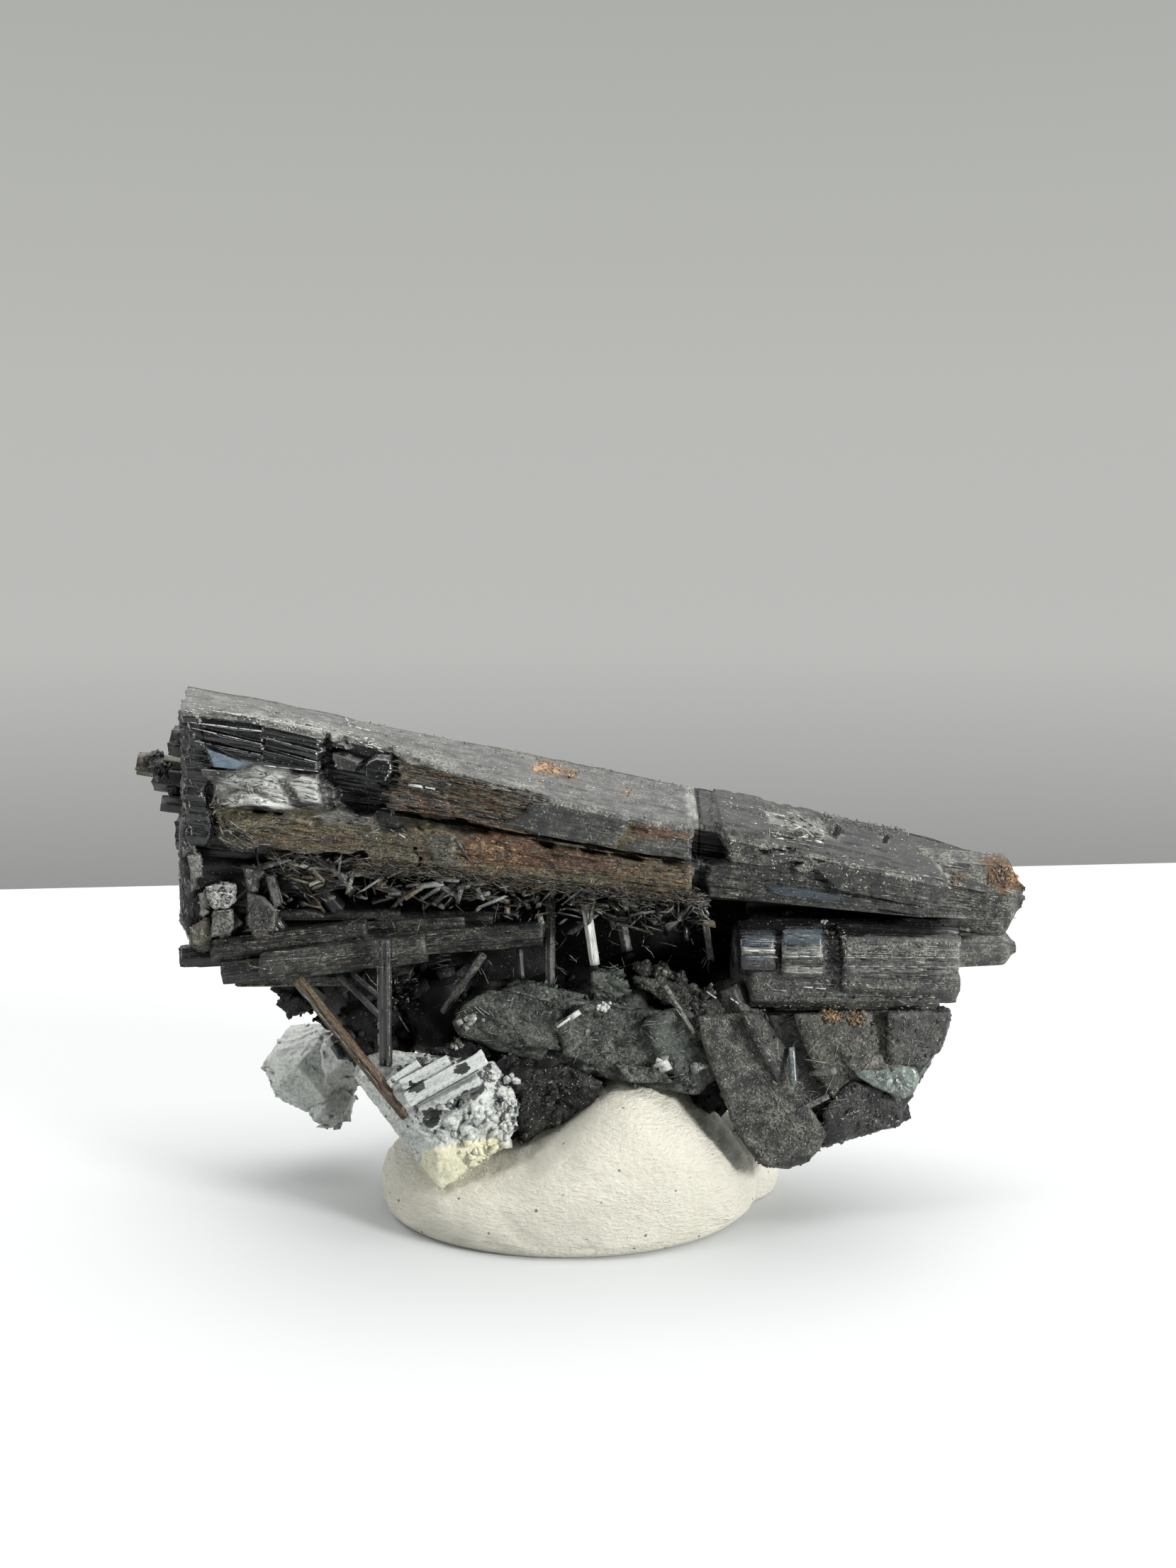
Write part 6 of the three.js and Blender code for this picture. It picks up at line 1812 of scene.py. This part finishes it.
def felt_edge(rng):
    """Fibres along the lower slab's edge."""
    count = 900
    x = rng.uniform(-12.0, 7.6, count)
    z = low_edge(x) + rng.normal(0.18, 0.22, count)
    y = rng.uniform(-5.5, -5.0, count)
    direction = leaning(rng.normal(-0.14, 0.30, count), 0.15, rng)
    length = skewed(0.2, 6.0, count, rng)
    looks = look_of("olive tan dim black brown cream black olive dim", count, rng)
    return needles(stack(x, y, z), direction, length, rng.uniform(0.03, 0.08, count), rng, **looks)


def plates(middle, lean, turn, out_x, out_z, lengths, widths, thick, jitter, names, rng):
    """Flat splinters that face the camera: the mean and the spread of their lean and of their outward
    way's height, and the least length and width with how many times larger the most is."""
    count = len(middle)
    along = leaning(rng.normal(*lean, count), turn, rng)
    out = unit(stack(rng.normal(0, out_x, count), -1.0, rng.normal(*out_z, count)))
    length, width = skewed(*lengths, count, rng), skewed(*widths, count, rng)
    looks = look_of(names, count, rng)
    return shards(middle, along, out, stack(length, width, thick), rng, jitter, **looks)


def flakes(rng):
    """Broken laths and flakes that hang among the felt."""
    x, depth = rng.uniform(-18.5, 8.0, 380), rng.uniform(0, 1, 380)
    z = low_edge(x) + 0.1 - np.where(x < -14, 3.4, 2.4) * depth**1.2
    middle = stack(x, rng.uniform(-5.0, -3.4, 380) + depth, z)
    form = dict(lean=(-0.1, 0.8), turn=0.5, out_x=0.8, out_z=(0.0, 0.9), thick=0.05, jitter=0.35)
    names = "dim dim black black grey olive dim"
    return plates(middle, lengths=(0.3, 7.0), widths=(0.06, 6.0), names=names, rng=rng, **form)


def laths(rng):
    """Larger grey laths under the shell-like break."""
    x = rng.uniform(-15.5, -4.0, 54)
    z = low_edge(x) + 0.1 - 1.5 * rng.uniform(0, 1, 54)
    middle = stack(x, rng.uniform(-5.2, -4.5, 54), z)
    form = dict(lean=(0.1, 0.6), turn=0.2, out_x=0.5, out_z=(0.3, 0.6), thick=0.07, jitter=0.4)
    names = "grey dim dim silver olive dim black"
    return plates(middle, lengths=(0.5, 3.6), widths=(0.10, 3.0), names=names, rng=rng, **form)


# ---- assembly ------------------------------------------------------------------------------------


def build():
    """Makes every piece; the random numbers are drawn in this order."""
    rng = np.random.default_rng(7)
    shiny = schorl_material("black_tourmaline", 0.4)
    # a shaded copy of the tourmaline: little reflection, so that the root looks as dark as the shade in the
    # hollow
    recess = schorl_material("dark_recess", 0.08)
    dusty = schorl_material("dusty_tourmaline", 0.22)
    matrix, feldspar = matrix_material(), feldspar_material()
    schorl_pieces = {
        "main_crystal_left": (main_crystal(LEFT_END, CRACK, 215), shiny),
        "left_end_crystals": (left_end_shapes(rng), shiny),
        "front_rods": (crystals(FRONT_RODS, 200, spacing=0.06), shiny),
        "second_crystal": (painted(crystals(SECOND, 600, spacing=0.09, step=0.22), SECOND_PAINT, 610), shiny),
        "main_crystal_right": (main_crystal(CRACK, RIGHT_END, 130), dusty),
        "main_crystal_tip": (tip_shapes(), dusty),
        "rod_bundle": (crystals(BUNDLE, 100, spacing=0.09), dusty),
        "lower_right_prisms": (lower_right_shapes(rng), dusty),
        "back_crystals": (back_shapes(), dusty),
        "dark_root": (root_shapes(rng), recess),
    }
    seen = [make_piece(name, shapes, material) for name, (shapes, material) in schorl_pieces.items()]
    felt = [bed(rng) for bed in (felt_mat, felt_loose, felt_edge, flakes, laths)]
    make_piece("needle_felt", felt, shiny)
    seen.append(make_piece("grey_green_rock", matrix_shapes(rng), matrix, "grey_green_matrix"))
    block = feldspar_front_shapes(rng)
    seen.append(make_piece("feldspar_block", block, feldspar, "feldspar_front"))
    make_piece("feldspar_lump", feldspar_back_shapes(rng), feldspar, "feldspar_back")
    facet = pale_crystal_material()
    make_piece("pale_green_facet", pale_crystal_shapes(), facet, "pale_green_crystal")
    make_piece("tack_lump", tack_shapes(), tack_material(), "mineral_tack")
    bpy.context.view_layer.update()
    small = line_shapes(seen, rng) + field_shapes(seen, rng) + crumb_shapes(seen, rng)
    make_piece("streaks_and_crumbs", small + [top_edge_fuzz(rng)], shiny)


# ---- floor, light and camera ---------------------------------------------------------------------

FLOOR_CORNERS = [(-0.25, -0.20), (0.25, -0.20), (0.25, 0.139), (-0.25, 0.076)]  # in metres
FLOOR_COLOUR, FLOOR_ROUGHNESS = (0.475, 0.488, 0.484), 0.6


def add_object(name, data):
    thing = bpy.data.objects.new(name, data)
    bpy.context.scene.collection.objects.link(thing)
    return thing


def add_floor():
    """A pale sheet whose far edge runs as the photograph's does."""
    mesh = bpy.data.meshes.new("floor")
    mesh.from_pydata([(x, y, 0.0) for x, y in FLOOR_CORNERS], [], [(0, 1, 2, 3)])
    floor = add_object("floor", mesh)
    material = new_material("pale_floor").finish(Base_Color=FLOOR_COLOUR, Roughness=FLOOR_ROUGHNESS)
    floor.data.materials.append(material)


# The surround's brightness by the sine of the elevation, as it is seen behind the specimen.
WORLD_STOPS = [
    (-1.0, (0.30, 0.30, 0.30)),
    (-0.19, (0.29, 0.295, 0.29)),
    (-0.05, (0.50, 0.505, 0.485)),
    (0.10, (0.49, 0.495, 0.475)),
    (0.30, (0.42, 0.43, 0.41)),
    (0.70, (0.50, 0.51, 0.50)),
    (1.0, (0.60, 0.60, 0.60)),
]
ROOM_SHARE = 0.09  # how bright the room behind the camera is, against the backdrop
ROOM_SPAN = (-0.45, 0.10)  # where the backdrop passes into the room, by the sine of the direction's y


def add_world():
    """A soft grey surround, darker behind the camera, so that upright faces look black."""
    world = bpy.data.worlds.new("studio")
    bpy.context.scene.world = world
    n = Nodes(world)
    seen = n.add("ShaderNodeTexCoord").outputs["Generated"]
    split = n.add("ShaderNodeSeparateXYZ", {"Vector": seen})
    ramp = n.add("ShaderNodeValToRGB", {"Fac": n.ramp(split.outputs["Z"], -1.0, 1.0)})
    while len(ramp.color_ramp.elements) < len(WORLD_STOPS):
        ramp.color_ramp.elements.new(0.5)
    for element, (at, colour) in zip(ramp.color_ramp.elements, WORLD_STOPS):
        element.position = (at + 1) / 2
        element.color = (*colour, 1.0)
    background = n.tree.nodes["Background"]
    n.set(background.inputs["Color"], ramp.outputs["Color"])
    n.set(background.inputs["Strength"], n.ramp(split.outputs["Y"], *ROOM_SPAN, ROOM_SHARE))


# Area lights: where they are and their sizes in metres, and their power. All aim at the specimen.
LIGHTS = {
    "overhead": ((0.0, 0.08, 0.30), (0.80, 0.50), 3.40),
    "from_left": ((-0.24, -0.10, 0.14), (0.06, 0.08), 0.25),
    "from_right": ((0.22, -0.16, 0.10), (0.06, 0.06), 1.1),
}
LIGHTS_AIM = Vector((0.0, 0.0, 0.015))


def add_lights():
    for name, (location, size, power) in LIGHTS.items():
        data = bpy.data.lights.new(name, "AREA")
        data.shape = "RECTANGLE"
        data.size, data.size_y = size
        data.energy = power
        light = add_object(name, data)
        light.location = location
        light.rotation_euler = (LIGHTS_AIM - Vector(location)).to_track_quat("-Z", "Y").to_euler()


def add_camera():
    """The camera at the photograph's place, in the size of the photograph's view."""
    data = bpy.data.cameras.new("camera")
    data.sensor_width = SENSOR
    data.lens = SENSOR * FOCAL_PX / PHOTO_HEIGHT
    data.clip_start = 0.002
    camera = add_object("camera", data)
    camera.location = CAMERA_AT * MM
    camera.rotation_euler = (math.pi / 2 - CAMERA_PITCH, 0, 0)
    bpy.context.scene.camera = camera


build()
add_floor()
add_world()
add_lights()
add_camera()
bpy.context.scene.view_settings.view_transform = "Standard"
